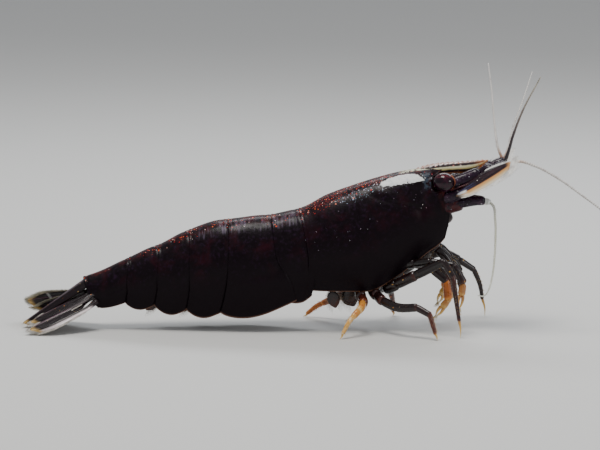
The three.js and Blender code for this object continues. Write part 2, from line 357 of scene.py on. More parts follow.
# Puts a new group on the bench and gives its incoming and outgoing sockets.
# inputs are (label, kind, value) and outputs (label, kind).
def newGroup(name, inputs, outputs):
    group = bpy.data.node_groups.new(name, "ShaderNodeTree")
    bench["tree"] = group
    for label, kind, value in inputs:
        socket = group.interface.new_socket(label, in_out="INPUT", socket_type="NodeSocket" + kind)
        if value is not None:
            socket.default_value = value
    for label, kind in outputs:
        group.interface.new_socket(label, in_out="OUTPUT", socket_type="NodeSocket" + kind)
    return group, group.nodes.new("NodeGroupInput").outputs, group.nodes.new("NodeGroupOutput").inputs


# Where a point is: in the body's millimetres, and along the body axis.
def makePlaceGroup():
    group, _, out = newGroup("place on the body", [], [("Millimetres", "Vector"), ("Along", "Float")])
    objectPlace = node("TexCoord").outputs["Object"]
    inMillimetres = {"Vector": objectPlace, "Scale": (1000, 1000, 1000), "Location": tuple(-shift)}
    millimetres = node("Mapping", inMillimetres, vector_type="POINT").outputs["Vector"]
    plug(millimetres, out["Millimetres"])
    x, _, z = partsOf(millimetres)
    plug(plus(times(x, pitchCos), times(z, pitchSin)), out["Along"])
    return group


# Round specks: how many cells a millimetre, how big in a cell, and the share of cells that have one.
def makeSpeckGroup():
    inputs = [("Vector", "Vector", None), ("Cells", "Float", 5.0), ("Size", "Float", 0.25),
              ("Share", "Float", 0.5)]
    group, given, out = newGroup("specks", inputs, [("Mask", "Float"), ("Tone", "Float")])

    # The places stray a little, so that the specks aren't quite round.
    def moved(operation, inputs):
        return node("VectorMath", inputs, operation=operation).outputs[0]

    stray = node("TexNoise", {"Vector": given["Vector"], "Scale": 9.0, "Detail": 2.0}).outputs["Color"]
    stray = moved("SCALE", {0: moved("SUBTRACT", {0: stray, 1: (0.5, 0.5, 0.5)}), "Scale": 0.12})
    strayed = moved("ADD", {0: given["Vector"], 1: stray})
    cells = node("TexVoronoi", {"Vector": strayed, "Scale": given["Cells"]}).outputs
    chance, bigness, tone = node("SeparateColor", {0: cells["Color"]}).outputs
    size = times(given["Size"], plus(times(bigness, 0.75), 0.4))
    soft = maths("DIVIDE", minus(size, cells["Distance"]), times(size, 0.35), clamp=True)
    plug(times(maths("LESS_THAN", chance, given["Share"]), soft), out["Mask"])
    plug(tone, out["Tone"])
    return group


placeGroup = makePlaceGroup()
speckGroup = makeSpeckGroup()


def placeNodes():
    return node("Group", node_tree=placeGroup).outputs


def specks(vector, cells, size, share):
    inputs = {"Vector": vector, "Cells": cells, "Size": size, "Share": share}
    return node("Group", inputs, node_tree=speckGroup).outputs


# Lays specks over a colour. paint is one colour, or stops that the specks' own tones follow.
def speckled(color, vector, cells, size, share, paint, amount=None):
    mask, tone = specks(vector, cells, size, share)
    return over(color, mask, ramp(tone, paint) if isinstance(paint, list) else paint, amount)


# Puts a new material on the bench and gives the place of each point in millimetres.
def startMaterial(name):
    material = bpy.data.materials.new(name)
    material.use_nodes = True
    bench["material"], bench["tree"] = material, material.node_tree
    return placeNodes()["Millimetres"]


# Joins what a material has worked out to its shader. shader holds values that are the same all over.
def finishMaterial(color, roughness, height=None, strength=0.25, depth=0.02, shader=None):
    sockets = bench["tree"].nodes["Principled BSDF"].inputs
    for key, value in {"Base Color": color, "Roughness": roughness, **(shader or {})}.items():
        plug(value, sockets[key])
    if height is not None:
        inputs = {"Height": height, "Strength": strength, "Distance": depth * millimetre}
        plug(node("Bump", inputs).outputs["Normal"], sockets["Normal"])
    return bench["material"]


# A clear coat, and how strongly the surface under it shines.
def clearCoat(weight, roughness, level=0.5):
    return {"Coat Weight": weight, "Coat Roughness": roughness, "Specular IOR Level": level}


# Colours and markings of the shell.
shellLook = {
    "deep": (0.005, 0.0019, 0.0038),
    "wine": (0.026, 0.003, 0.0075),
    "plum": (0.018, 0.006, 0.02),
    "rust": (0.1, 0.01, 0.008),
    "cheek": (0.11, 0.01, 0.008),
    "crestHighlight": (0.8, 0.8, 0.58),
    "lilacHighlight": (0.26, 0.2, 0.3),
    "white": (0.86, 0.87, 0.85),
    "shade": (0.68, 0.71, 0.73),  # in the white
    "slate": (0.06, 0.085, 0.115),
    "sheen": (0.42, 0.52, 0.66),
    "margin": (0.24, 0.12, 0.08),
    "glints": [(0.0, 0.26, 0.008, 0.01), (0.36, 0.72, 0.03, 0.022), (0.6, 0.92, 0.16, 0.02),
               (0.78, 0.85, 0.34, 0.26), (0.9, 0.88, 0.74, 0.68), (1.0, 0.95, 0.93, 0.9)],
    "pale": [(0.0, 0.45, 0.25, 0.33), (0.5, 0.45, 0.5, 0.6), (1.0, 0.86, 0.87, 0.85)],
    # The white patch: from and to along the body axis, its upper and lower edge as lift.
    "patchFrom": 6.02,
    "patchTo": 8.06,
    "patchTop": [(5.9, 0.925), (6.3, 0.95), (7.0, 0.967), (7.62, 0.955), (7.9, 0.91), (8.06, 0.84)],
    "patchBottom": [(5.9, 0.9), (6.06, 0.85), (6.4, 0.825), (6.8, 0.8), (7.4, 0.77), (8.06, 0.755)],
}


# Markings of the shell plates. Lift is 1 along the back and -1 at the lower margin.
def makeShellMarkings():
    look = shellLook
    inputs = [("Lift", "Float", 0.0), ("Edge", "Float", 1.0), ("Seam", "Float", 1.0)]
    group, (lift, edge, seam, *_), out = newGroup(
        "shell markings", inputs, [("Color", "Color"), ("White", "Float"), ("Height", "Float")])
    spot, along = placeNodes()

    # Where along the body axis, and at what lift.
    def area(start, end, softEnds, low, high, softSides):
        return times(between(along, start, end, softEnds), between(lift, low, high, softSides))

    # Ground: near-black, with wine and plum clouds that warm up towards the back.
    clouds = noiseAt(spot, 0.9, 4.0, 0.6, 0.4)
    fine = noiseAt(spot, 6.0, 3.0, 0.6)
    color = over(look["deep"], times(rise(clouds, 0.46, 0.74), rise(lift, -0.5, 0.8)), look["wine"])
    color = over(color, times(rise(fine, 0.5, 0.75), rise(lift, -0.6, 0.9)), look["plum"])
    backGlow = times(rise(lift, 0.82, 1.0), rise(noiseAt(spot, 2.2, 4.0, 0.65), 0.42, 0.68))
    color = over(color, backGlow, look["rust"], 0.75)

    # Glints: dense along the ridge of the carapace and by the joints, thinner down the flank.
    ridge = times(rise(lift, 0.8, 0.97), plus(times(between(along, 2.2, 6.0, 0.8), 0.55), 0.2))
    share = plus(ridge, times(inverse(rise(seam, 0.05, 0.34)), rise(lift, 0.7, 0.95), 0.5))
    glint, tone = specks(spot, 11.0, 0.42, share)
    color = over(color, glint, ramp(tone, look["glints"]))
    color = speckled(color, spot, 6.8, 0.33, times(share, 0.45), look["glints"])

    # Painted bluish sheen flecks over the shoulder, and short pale streaks of painted highlight on the first
    # rings.
    shoulder = times(area(4.1, 5.8, 0.4, 0.8, 0.91, 0.05), 0.7)
    color = speckled(color, spot, 11.0, 0.46, shoulder, look["sheen"], 0.8)
    streaks = noiseAt(stretched(spot, (6.5, 1.0, 0.9), math.radians(body["pitch"])), 1.0, 3.0, 0.5)
    streak = times(rise(streaks, 0.5, 0.76), area(-3.2, 1.9, 0.5, 0.8, 0.93, 0.07))
    color = over(color, streak, look["lilacHighlight"], 0.5)

    # Scattered pale flecks on the flank, thicker below the white patch and by the eye.
    cheek, flank = area(6.2, 8.6, 0.3, 0.3, 0.8, 0.12), area(1.5, 8.5, 0.8, 0.2, 0.85, 0.2)
    paleShare = plus(times(flank, 0.04), times(cheek, 0.07))
    color = speckled(color, spot, 11.0, 0.24, paleShare, look["pale"], 0.85)

    # The white patch behind each eye, with dark pinholes, white specks round it and a slate zone before it.
    wander = swing(noiseAt(spot, 6.5, 4.0, 0.7), 0.085)
    inside = maths("MINIMUM", minus(follow(along, look["patchTop"]), lift),
                   minus(lift, follow(along, look["patchBottom"])))
    rear, front = look["patchFrom"], look["patchTo"]
    rearEdge = rise(plus(along, times(wander, 5.0)), rear - 0.06, rear)
    frontEdge = inverse(rise(minus(along, times(wander, 5.0)), front, front + 0.05))
    patch = times(rise(plus(inside, wander), 0.0, 0.01), rearEdge, frontEdge)
    pinhole, _ = specks(spot, 6.0, 0.34, plus(0.1, times(inverse(rise(lift, 0.74, 0.86)), 0.6)))
    patch = times(patch, inverse(pinhole))
    slate = times(area(front + 0.1, 8.4, 0.2, 0.6, 0.93, 0.1), rise(fine, 0.36, 0.62))
    color = over(color, slate, look["slate"], 0.7)
    dots, _ = specks(spot, 10.0, 0.26, times(area(7.3, 8.7, 0.2, 0.5, 0.88, 0.1), 0.13))
    color = over(color, dots, look["white"])
    nearPatch = times(rise(inside, -0.07, 0.0), between(along, 5.7, 8.35, 0.25))
    color = speckled(color, spot, 12.0, 0.3, times(nearPatch, 0.5), look["white"], 0.9)
    color = over(color, patch, ramp(fine, [(0.3, *look["shade"]), (0.52, *look["white"])]))
    # A painted highlight along the top of the dorsal ridge, over the front of the white patch.
    crestHighlight = times(between(along, 7.3, 8.4, 0.35), rise(lift, 0.978, 0.992), rise(fine, 0.4, 0.52))
    color = over(color, crestHighlight, look["crestHighlight"], 0.85)

    # Reddish cheek at the front edge, and a thin pale rim along the lower margins.
    cheekGlow = times(area(8.75, 9.6, 0.3, -0.2, 0.5, 0.2), rise(clouds, 0.36, 0.56))
    color = over(color, cheekGlow, look["cheek"], 0.5)
    plug(over(color, inverse(rise(edge, 0.01, 0.06)), look["margin"], 0.7), out["Color"])
    plug(maths("MAXIMUM", patch, times(dots, 0.8)), out["White"])

    # Relief: fine pits, low swells and the specks standing a hair proud.
    pits = node("TexVoronoi", {"Vector": spot, "Scale": 11.0}, feature="SMOOTH_F1").outputs["Distance"]
    height = plus(times(pits, 0.35), times(fine, 0.5))
    plug(plus(height, times(maths("MAXIMUM", glint, patch), 0.35)), out["Height"])
    return group


shellMarkings = makeShellMarkings()


def makeShellMaterial():
    spot = startMaterial("shell")
    masks = {label.capitalize(): attribute(label) for label in ("lift", "edge", "seam")}
    color, white, height = node("Group", masks, node_tree=shellMarkings).outputs
    patchy = noiseAt(spot, 3.0, 4.0, 0.6)
    roughness = plus(plus(times(patchy, 0.3), 0.22), times(white, 0.15))
    upwards = plus(times(rise(masks["Lift"], 0.1, 0.95), 0.16), 0.02)
    gloss = times(upwards, rise(patchy, 0.26, 0.62))
    return finishMaterial(color, roughness, height, 0.42, 0.03, clearCoat(gloss, 0.2, 0.09))


shell = makeShellMaterial()

# The carapace. Its front edge is given from the back, 0, down to the lower margin, 1.
carapaceLook = {
    "front": [(0, 9.12), (0.04, 9.0), (0.08, 8.76), (0.12, 8.56), (0.17, 8.41), (0.22, 8.36),
              (0.3, 8.48), (0.37, 9.0), (0.42, 8.86), (0.5, 8.8), (0.62, 8.9), (0.74, 8.93),
              (0.86, 8.75), (1, 8.25)],
    "tuck": 0.3,  # how far the lower margin is drawn in, as a share of the half width
    "columns": 168,
    "rows": 120,
    "rearLap": 0.3,
    "flankLength": 5.6,  # from the back round to the lower margin
    "neckGroove": (5.35, 7.5),  # it runs down and forwards between these places
    "orbitAt": 0.21,  # depth down the flank of the eye's notch and of the spine under it
    "spineAt": 0.37,
}

rings = {
    "count": 6,
    "top": [2.0, 0.55, -1.6, -3.62, -5.28, -6.88, -9.63],
    "low": [0.95, 0.1, -3.3, -4.95, -6.43, -7.78, -9.35],
    "notch": [1.62, 1.62, 2.12, 2.76, 3.4, 3.88, 4.06],
    "plateLowest": [1.44, 1.42, 2.04, 2.64, 3.32, 3.88],
    "bow": 0.22,
    "lap": 0.26,  # how far a ring's hind edge lies over the next one
    "underLap": 0.22,
    "sink": 0.085,  # how far the front part lies under the plate before it
    "tuck": 0.14,
    "hingeAt": 0.61,  # how far down the flank the first two rings trade places
    "flankLength": 4.2,
    "columns": 132,
    "rows": 34,
    "lastRows": 48,
}


# Height, half width and depth of a plate's section, d from 0 on the back to 1 at the lower margin.
# Past the widest point the width is left to platePoint.
def section(d):
    turn = d * (math.pi / 2 + body["lowerTurn"])
    if turn <= math.pi / 2:
        return math.cos(turn), abs(math.sin(turn)) ** 0.82, (1 - math.cos(turn)) / 2
    e = (turn - math.pi / 2) / body["lowerTurn"]
    return -e, None, 0.5 + 0.5 * e


# A point of a shell plate, and its lift. side is -1 to 1, from the right margin over the back to the left.
def platePoint(along, side, low, tuck, proud):
    high, wide, _ = section(abs(side))
    top = backAt(along)
    middle = lerp(low, top, body["widestAt"])
    if wide is None:
        wide = 1 - tuck * high * high * (1 - 0.25 * high)
        up = middle + (middle - low) * high
    else:
        up = middle + (top - middle) * high
    outwards = Vector((0, math.copysign(wide, side), high if high > 0 else 0.15 * high))
    if outwards.length > 1e-6:
        outwards.normalize()
    half = widthAt(along)
    return onBody(along, math.copysign(half * wide, side) + outwards.y * proud, up + outwards.z * proud), high


def jointAt(joint, depth):
    bow = rings["bow"] * math.sin(math.pi * depth) if 0 < joint < rings["count"] else 0
    return lerp(rings["top"][joint], rings["low"][joint], depth ** 2) - bow


# A rolled edge: a low swell on the rim with a fine groove beside it.
def rolled(distance, swell, at, width):
    return swell * bump(distance, 0.03, width) - 0.012 * bump(distance, at, 0.05)


carapaceFrontAt = through(carapaceLook["front"])


# How far the carapace swells or sinks at a place along the body and down the flank.
def carapaceRelief(along, depth):
    neckAt = lerp(*carapaceLook["neckGroove"], smoothStep(depth, 0.05, 0.46))
    strength = smoothStep(depth, 0.03, 0.2) * (1 - smoothStep(depth, 0.46, 0.6))
    raised = -0.055 * bump(along, neckAt, 0.22) * strength
    raised += 0.03 * bump(along, neckAt + 0.5, 0.35) * strength
    gillLine = 0.3 + 0.03 * math.sin(along)
    gillEnds = smoothStep(along, 2.4, 3.2), 1 - smoothStep(along, 5.8, 6.5)
    raised -= 0.035 * bump(depth, gillLine, 0.03) * gillEnds[0] * gillEnds[1]
    raised -= 0.05 * bump(along, 7.85, 0.3) * bump(depth, 0.43, 0.07)
    raised += 0.04 * bump(along, 4.4, 1.3) * bump(depth, 0.62, 0.2)
    return raised + 0.03 * (smoothStep(along, 4.6, 8.2) * bump(depth, 0, 0.006))


def addPlate(name, node, columns, rows, place):
    bm = newMesh()
    shapedGrid(bm, columns, rows, place, wrap=False, masks=("lift", "edge", "seam"))
    addPiece(bm, name, shell, "shell", [node], closed=False, wall=body["shellWall"])


def makeCarapace():
    look = carapaceLook

    def place(u, v):
        side = 2 * u - 1
        depth = section(abs(side))[2]
        rear = jointAt(0, depth) - look["rearLap"] * (1 - 0.6 * depth)
        front = carapaceFrontAt(depth)
        along = lerp(rear, front, eased(v, 0.12))
        fromRear, fromFront = along - rear, front - along
        fromLow = (1 - abs(side)) * look["flankLength"]
        atNose = (1 - smoothStep(depth, 0.06, 0.13)) * (1 - smoothStep(fromFront, 0.1, 0.5))
        orbit = bump(depth, look["orbitAt"], 0.09)
        proud = carapaceRelief(along, depth)
        proud += rolled(min(fromRear * 1.2, fromFront, fromLow), 0.022, 0.13, 0.05) * (1 - atNose)
        proud -= 0.07 * atNose  # the edge sinks into the side of the rostrum
        proud += 0.05 * orbit * bump(fromFront, 0.05, 0.12) - 0.03 * orbit * bump(fromFront, 0.32, 0.12)
        proud += 0.06 * bump(depth, look["spineAt"], 0.022) * bump(fromFront, 0.0, 0.5)
        point, lift = platePoint(along, side, carapaceLowAt(along), look["tuck"], proud + 0.02)
        return point, lift, min(fromLow, fromFront + 0.12), min(fromRear, 1.0)

    addPlate("carapace_shell", "carapace", look["columns"], look["rows"], place)


# The scalloped lower edge of an abdomen ring. share goes from its rear to its front.
def plateLow(ring, share):
    notch = lerp(rings["notch"][ring], rings["notch"][ring - 1], share)
    return notch - (notch - rings["plateLowest"][ring - 1]) * max(0.0, math.sin(math.pi * share)) ** 0.7


# The second ring's side plates lie over both neighbours.
def makeRing(ring):
    look = rings
    last, second = ring == look["count"], ring == 2

    def place(u, v):
        side = 2 * u - 1
        depth = section(abs(side))[2]
        low = smoothStep(depth, 0.42, 0.75)
        lap = look["lap"] * (1 - low) + (0.2 if second else 0.15) * low
        under = look["underLap"] * (1 - low) + (0.22 if ring > 1 else 0.15) * low
        pinch = 1 - 0.78 * bump(depth, look["hingeAt"], 0.11)
        lap *= pinch if ring == 1 else 1
        under *= pinch if second else 1
        rear = jointAt(ring, depth) - (0.0 if last else lap)
        front = jointAt(ring - 1, depth) + under
        along = lerp(rear, front, v)
        fromRear, fromFront = along - rear, front - along
        fromLow = (1 - abs(side)) * look["flankLength"]
        sink = look["sink"] * (1 - smoothStep(fromFront, 0.28, 0.62)) * (1 - low * (1.0 if second else 0.1))
        proud = 0.035 * bump(v, 0.5, 0.3) - sink
        proud += rolled(fromRear, 0.018, 0.15, 0.06)
        proud -= 0.014 * bump(fromFront, 0.74, 0.07) * (1 - low)
        proud += rolled(fromLow, 0.02, 0.15, 0.06)
        proud += 0.05 * low if second else 0
        proud -= 0.02 * bump(depth, 0.56, 0.05) * bump(v, 0.55, 0.3)
        point, lift = platePoint(along, side, plateLow(ring, min(1.0, max(0.0, v))), look["tuck"], proud)
        return point, lift, fromLow, min(fromRear, fromFront + 0.12)

    rows = look["lastRows"] if last else look["rows"]
    addPlate(f"abdomen_ring_{ring}", f"abdomen_{ring}", look["columns"], rows, place)


makeCarapace()
for ringNumber in range(1, rings["count"] + 1):
    makeRing(ringNumber)
print("shell plates done")


# The soft body inside the shell.
innerBody = {
    "from": -9.42,
    "to": 9.12,
    "clear": 0.17,  # how far it lies inside the plates
    "belly": [(-9.42, 4.12), (-8.7, 4.02), (-7.6, 4.05), (-6, 3.72), (-4, 3.3), (-2, 2.85), (0, 2.5),
              (1.5, 2.1), (2.6, 1.65), (4, 1.3), (5.4, 1.62), (7.0, 2.35),
              (7.9, 2.85), (8.6, 3.5), (9.12, 4.1)],
    "seam": 0.05,  # how high the belly swells at each joint
    "ease": 0.9,
    "columns": 64,
    "rows": 150,
    "colors": [(0.35, 0.012, 0.004, 0.005), (0.55, 0.06, 0.01, 0.008), (0.75, 0.13, 0.03, 0.016)],
}


def makeSkinMaterial():
    spot = startMaterial("skin")
    color = ramp(noiseAt(spot, 1.6, 4.0, 0.6, 0.3), innerBody["colors"])
    grain = noiseAt(spot, 9.0, 3.0)
    return finishMaterial(color, plus(times(grain, 0.2), 0.28), grain, 0.3, 0.03, clearCoat(0.12, 0.2, 0.18))


def makeInnerBody():
    look = innerBody
    bellyAt = through(look["belly"])
    bm = newMesh()

    def place(u, v):
        t = eased(v, look["ease"])
        along = lerp(look["from"], look["to"], t)
        fill = capped(t, 0.045 if t > 0.5 else 0.008)
        angle = fullTurn * u
        bottom, top = bellyAt(along), backAt(along) - look["clear"] * 1.1 - 0.25 * smoothStep(along, 8.2, 9.0)
        if along < 1:
            bottom += look["seam"] * sum(bump(along, seam + 0.5, 0.16) for seam in rings["low"])
        middle = lerp(bottom, top, body["widestAt"])
        lift, flank = math.sin(angle), math.cos(angle)
        wide = (widthAt(along) - look["clear"]) * math.copysign(abs(flank) ** 0.85, flank)
        wide *= 1 - 0.3 * max(0, -lift) ** 3
        up = (top - middle) * lift if lift > 0 else (middle - bottom) * -(abs(lift) ** 0.8)
        return onBody(along, wide * fill, middle + up * fill)

    shapedGrid(bm, look["columns"], look["rows"], place)
    addPiece(bm, "inner_body", makeSkinMaterial(), "limb")


makeInnerBody()

rostrum = {
    "top": [(5.1, 7.74), (5.75, 8.03), (6.4, 8.24), (7.0, 8.33), (7.8, 8.39), (8.5, 8.44), (9.4, 8.52)],
    "bottom": [(5.1, 7.6), (6.4, 7.66), (7.0, 7.76), (7.6, 7.83), (8.4, 7.87), (8.9, 8.06), (9.4, 8.46)],
    "halfWidth": [(5.1, 0.1), (5.8, 0.16), (6.3, 0.24), (7.0, 0.21),
                  (7.8, 0.15), (9.0, 0.07), (9.4, 0.02)],
    "keelAt": 0.56,
    "topTeeth": (5.7, 9.15, 14, 0.085),  # from, to, how many and how big
    "bottomTeeth": (7.9, 9.1, 4, 0.06),
    "from": 5.1,
    "to": 9.4,
    "columns": 28,
    "rows": 196,
    # Bands across the blade: the pale yellow band and the pale top line are painted highlights, and the dark
    # band below the yellow one is painted shade.
    "stripesWithPaintedLight": [(0.0, 0.62, 0.24, 0.05), (0.09, 0.5, 0.15, 0.03), (0.16, 0.02, 0.006, 0.008),
                (0.34, 0.015, 0.006, 0.01), (0.43, 0.92, 0.78, 0.32), (0.64, 0.97, 0.93, 0.6),
                (0.7, 0.03, 0.012, 0.014), (0.87, 0.03, 0.012, 0.016), (0.94, 0.66, 0.5, 0.44),
                (1.0, 0.5, 0.3, 0.24)],  # from the lower edge to the upper one
    "tip": (0.7, 0.22, 0.05),
    "rear": (0.02, 0.006, 0.01),
}


def makeRostrumMaterial():
    spot = startMaterial("rostrum")
    tone = attribute("tone")
    grain = noiseAt(stretched(spot, (0.9, 6.0, 6.0)), 2.2, 4.0, 0.65)
    # The bands carry painted highlights and painted shade.
    color = ramp(plus(tone, swing(grain, 0.16)), rostrum["stripesWithPaintedLight"])
    forward = partsOf(spot)[0]
    color = over(color, rise(forward, 8.5, 9.3), rostrum["tip"], 0.6)
    belowEdge = times(0.8, inverse(rise(tone, 0.84, 0.92)))
    color = over(color, times(inverse(rise(forward, 6.0, 6.7)), belowEdge), rostrum["rear"])
    color = speckled(color, spot, 8.0, 0.4, 0.25, shellLook["glints"], 0.8)
    return finishMaterial(color, 0.3, grain, 0.3, 0.03, clearCoat(0.5, 0.1))


# How far into a row of teeth a place is, counted in teeth.
def toothPhase(x, teeth):
    return (x - teeth[0]) / (teeth[1] - teeth[0]) * teeth[2]


def makeRostrum():
    look = rostrum
    topAt, bottomAt, halfAt = (through(look[key]) for key in ("top", "bottom", "halfWidth"))
    bm = newMesh()

    def place(u, v):
        x = lerp(look["from"], look["to"], v)
        top, bottom, half = topAt(x), bottomAt(x), halfAt(x)
        phase, lowPhase = toothPhase(x, look["topTeeth"]), toothPhase(x, look["bottomTeeth"])
        saw, lowSaw = phase % 1.0, lowPhase % 1.0
        size = look["topTeeth"][3] * (1 - 0.35 * v) * (1 if 0 < phase < look["topTeeth"][2] else 0)
        topTooth = size * (saw ** 1.4 if saw < 0.86 else 0.81 * (1 - saw) / 0.14)
        lowTooth = look["bottomTeeth"][3] * (lowSaw ** 1.4 if lowSaw < 0.8 else (1 - lowSaw) / 0.2)
        if not 0 < lowPhase < look["bottomTeeth"][2]:
            lowTooth = 0
        lift, flank = math.sin(fullTurn * u), math.cos(fullTurn * u)
        keel = lerp(bottom, top, look["keelAt"])
        if lift >= 0:
            z = keel + (top - keel + topTooth) * lift ** 1.15
        else:
            z = keel - (keel - bottom + lowTooth) * abs(lift) ** 1.15
        # A blade with a ridge along each side.
        wide = half * (0.32 * abs(flank) ** 0.6 + 0.68 * abs(flank) ** 1.7) * math.copysign(1, flank)
        close = capped(v, 0.02)
        z = lerp((top + bottom) / 2, z, close)
        return Vector((x, wide * close, z)), (z - bottom) / (top - bottom)

    shapedGrid(bm, look["columns"], look["rows"], place, masks=("tone",))
    addPiece(bm, "rostrum_blade", makeRostrumMaterial(), "shell", ["rostrum"])


makeRostrum()

eyeLook = {
    "axis": (0.3, 0.93, 0.1),  # which way the cornea faces, on the left side
    "pastHalf": 112,  # degrees of the cornea's dome
    "columns": 56,
    "rows": 34,
    "stalkFrom": (6.55, 0.22, 7.12),
    "stalkRadius": 0.27,
    "gripRadius": 0.485,  # where the stalk holds the cornea
    "black": (0.006, 0.0015, 0.005),
    "wine": (0.03, 0.004, 0.014),
    "topRim": (0.16, 0.02, 0.03),
    "paintedBacklitCrescent": (0.46, 0.15, 0.06),
    "stalk": [(0.38, 0.012, 0.005, 0.012), (0.6, 0.06, 0.016, 0.022), (0.8, 0.16, 0.05, 0.04)],
    "stalkSpecks": [(0.0, 0.5, 0.12, 0.08), (1.0, 0.75, 0.74, 0.78)],
}


def makeCorneaMaterial():
    look = eyeLook
    spot = startMaterial("cornea")
    parts = partsOf(spot)

    # A place in the eye, in radii from its centre.
    def inEye(value, axis):
        return maths("DIVIDE", minus(value, eye["centre"][axis]), eye["radii"][axis])

    x, y, z = inEye(parts[0], 0), inEye(maths("ABSOLUTE", parts[1]), 1), inEye(parts[2], 2)
    clouds = noiseAt(spot, 4.5, 4.0, 0.65)
    color = over(look["black"], rise(clouds, 0.4, 0.7), look["wine"])
    topRim = times(rise(z, 0.3, 0.85), rise(noiseAt(spot, 9.0, 3.0, 0.7), 0.45, 0.62))
    color = over(color, topRim, look["topRim"], 0.85)
    # A painted amber arc along the front edge: backlight shining through the cornea.
    radius = maths("SQRT", plus(maths("POWER", plus(x, 0.2), 2.0), maths("POWER", plus(z, 0.05), 2.0)))
    paintedBacklitCrescent = times(between(radius, 1.02, 1.2, 0.07), rise(x, 0.45, 0.75),
                     between(y, 0.2, 0.38, 0.09), rise(clouds, 0.28, 0.46))
    color = over(color, paintedBacklitCrescent, look["paintedBacklitCrescent"], 0.85)
    facets = node("TexVoronoi", {"Vector": spot, "Scale": 21.0, "Randomness": 0.35}).outputs["Distance"]
    return finishMaterial(color, 0.14, facets, 0.12, 0.01, clearCoat(0.4, 0.02, 0.12))


def makeStalkMaterial():
    spot = startMaterial("eye stalk")
    clouds = noiseAt(spot, 3.5, 4.0, 0.65)
    color = speckled(ramp(clouds, eyeLook["stalk"]), spot, 9.0, 0.42, 0.16, eyeLook["stalkSpecks"])
    return finishMaterial(color, 0.3, clouds, 0.3, 0.03, clearCoat(0.4, 0.12))


def makeEye(label, side, corneaMaterial, stalkMaterial):
    look = eyeLook
    centre, start = mirrored(eye["centre"], side), mirrored(look["stalkFrom"], side)
    axis = mirrored(look["axis"], side).normalized()
    radii = Vector(eye["radii"])
    turn = axis.to_track_quat("Z", "Y").to_matrix().to_4x4()

    # Cornea: a dome that goes a little past half round, its hind edge turned in.
    bm = newMesh()

    def domePlace(u, v):
        polar, around = v * math.radians(look["pastHalf"]), fullTurn * u
        swell = 1.0 - 0.16 * smoothStep(v, 0.93, 1.0)
        aside = math.sin(polar)
        direction = turn @ Vector((aside * math.cos(around), aside * math.sin(around), math.cos(polar)))
        return centre + Vector([direction[i] * radii[i] for i in range(3)]) * swell

    shapedGrid(bm, look["columns"], look["rows"], domePlace)
    bmesh.ops.holes_fill(bm, edges=[edge for edge in bm.edges if edge.is_boundary], sides=0)
    addPiece(bm, f"eye_cornea_{label}", corneaMaterial, "eye", [f"eye_{label}"])

    # Stalk: a sheath that grips the cornea, then narrows towards the middle of the head.
    bm = newMesh()
    back = centre - axis * 0.16

    def stalkSize(t):
        grow = lerp(look["stalkRadius"], look["gripRadius"], smoothStep(t, 0.35, 0.95))
        size = grow * (1 - 0.07 * bump(t, 0.42, 0.08)) * capped(t, 0.16)
        return size, size

    tube(bm, [start, lerp(start, back, 0.55) + Vector((0.02, 0, 0.02)), back], stalkSize, 30, 26, ease=0.8)
    addPiece(bm, f"eye_stalk_{label}", stalkMaterial, "stalk", [f"eyestalk_{label}"])


cornea, stalk = makeCorneaMaterial(), makeStalkMaterial()
for label, side in sides.items():
    makeEye(label, side, cornea, stalk)
print("head and eyes done")

hairs = []  # every seta waiting to be made


# A seta: its coat, what it grows on, its root, reach, bend and width.
# u and v, from 0 to 1, give the root's place on an unwrap of the part it grows on.
def addHair(coat, host, root, reach, bend, width, u, v):
    hairs.append((coat, host, Vector(root), Vector(reach), Vector(bend), width, u, v))


def outwardsAt(angle, sideways, upwards):
    return sideways * math.cos(angle) + upwards * math.sin(angle)


# The base of the two upper feelers on each side.
antennule = {
    "path": [(6.85, 0.4, 7.04), (8.2, 0.47, 7.54), (9.2, 0.52, 7.96), (10.24, 0.6, 8.36)],
    "joints": [0.0, 0.6, 0.81, 1.0],
    "sizes": [(0.42, 0.37), (0.345, 0.315), (0.28, 0.22)],
    "spine": [(7.35, 0.8, 7.08), (8.0, 0.98, 7.3), (8.75, 0.98, 7.62)],
    "jointHairs": 18,
    "hairWidth": 0.007,
}

# The base of a long lower feeler. Each length: its path, then first and last size, tone,
# points round and along, flatness, collar, joint tone.
antennaBase = {
    "base": ([(6.5, 0.3, 6.12), (7.25, 0.55, 6.24), (8.12, 0.86, 6.46)],
             0.48, 0.31, 0.42, 30, 34, 0.85, 0.05, 0.05),
    "scaleRoot": ([(6.9, 0.5, 6.55), (7.5, 0.8, 6.72), (8.05, 1.05, 6.98)],
                  0.34, 0.25, 0.12, 24, 26, 0.8, 0.05, 0.05),
    "arm": ([(7.8, 0.84, 6.4), (8.5, 0.98, 6.55), (9.22, 1.06, 6.62)],
            0.25, 0.21, 0.0, 24, 26, 1.0, 0.06, 0.1),
    "last": ([(9.12, 1.06, 6.6), (9.3, 1.07, 6.58), (9.48, 1.09, 6.52)],
             0.175, 0.09, 0.92, 18, 16, 1.0, 0.1, 0.1),
    "spineRoot": (9.18, 1.06, 6.58),
    "leftDrop": 0.32,  # how much lower the left arm points
    "spines": ((0.12, 0.42), (-0.06, 0.3), (0.0, 0.22)),  # how far off the middle, and how long
}

faceLook = {
    "clouds": [(0.36, 0.007, 0.003, 0.008), (0.56, 0.022, 0.008, 0.022), (0.72, 0.07, 0.03, 0.055)],
    "veins": (0.19, 0.14, 0.24),
    "red": (0.058, 0.006, 0.006),
    "specks": [(0.0, 0.42, 0.35, 0.5), (0.6, 0.7, 0.72, 0.78), (1.0, 0.85, 0.85, 0.85)],
    "pale": [(0.4, 0.8, 0.82, 0.8), (0.62, 0.46, 0.49, 0.45)],
}


def pointAt(points, index):
    i = min(int(index), len(points) - 2)
    return Vector(points[i]).lerp(Vector(points[i + 1]), index - i)


# The part of a path between two places on it, counted in its points.
def stretch(points, start, end):
    inner = [Vector(points[i]) for i in range(len(points)) if start + 0.08 < i < end - 0.08]
    return [pointAt(points, start), *inner, pointAt(points, end)]


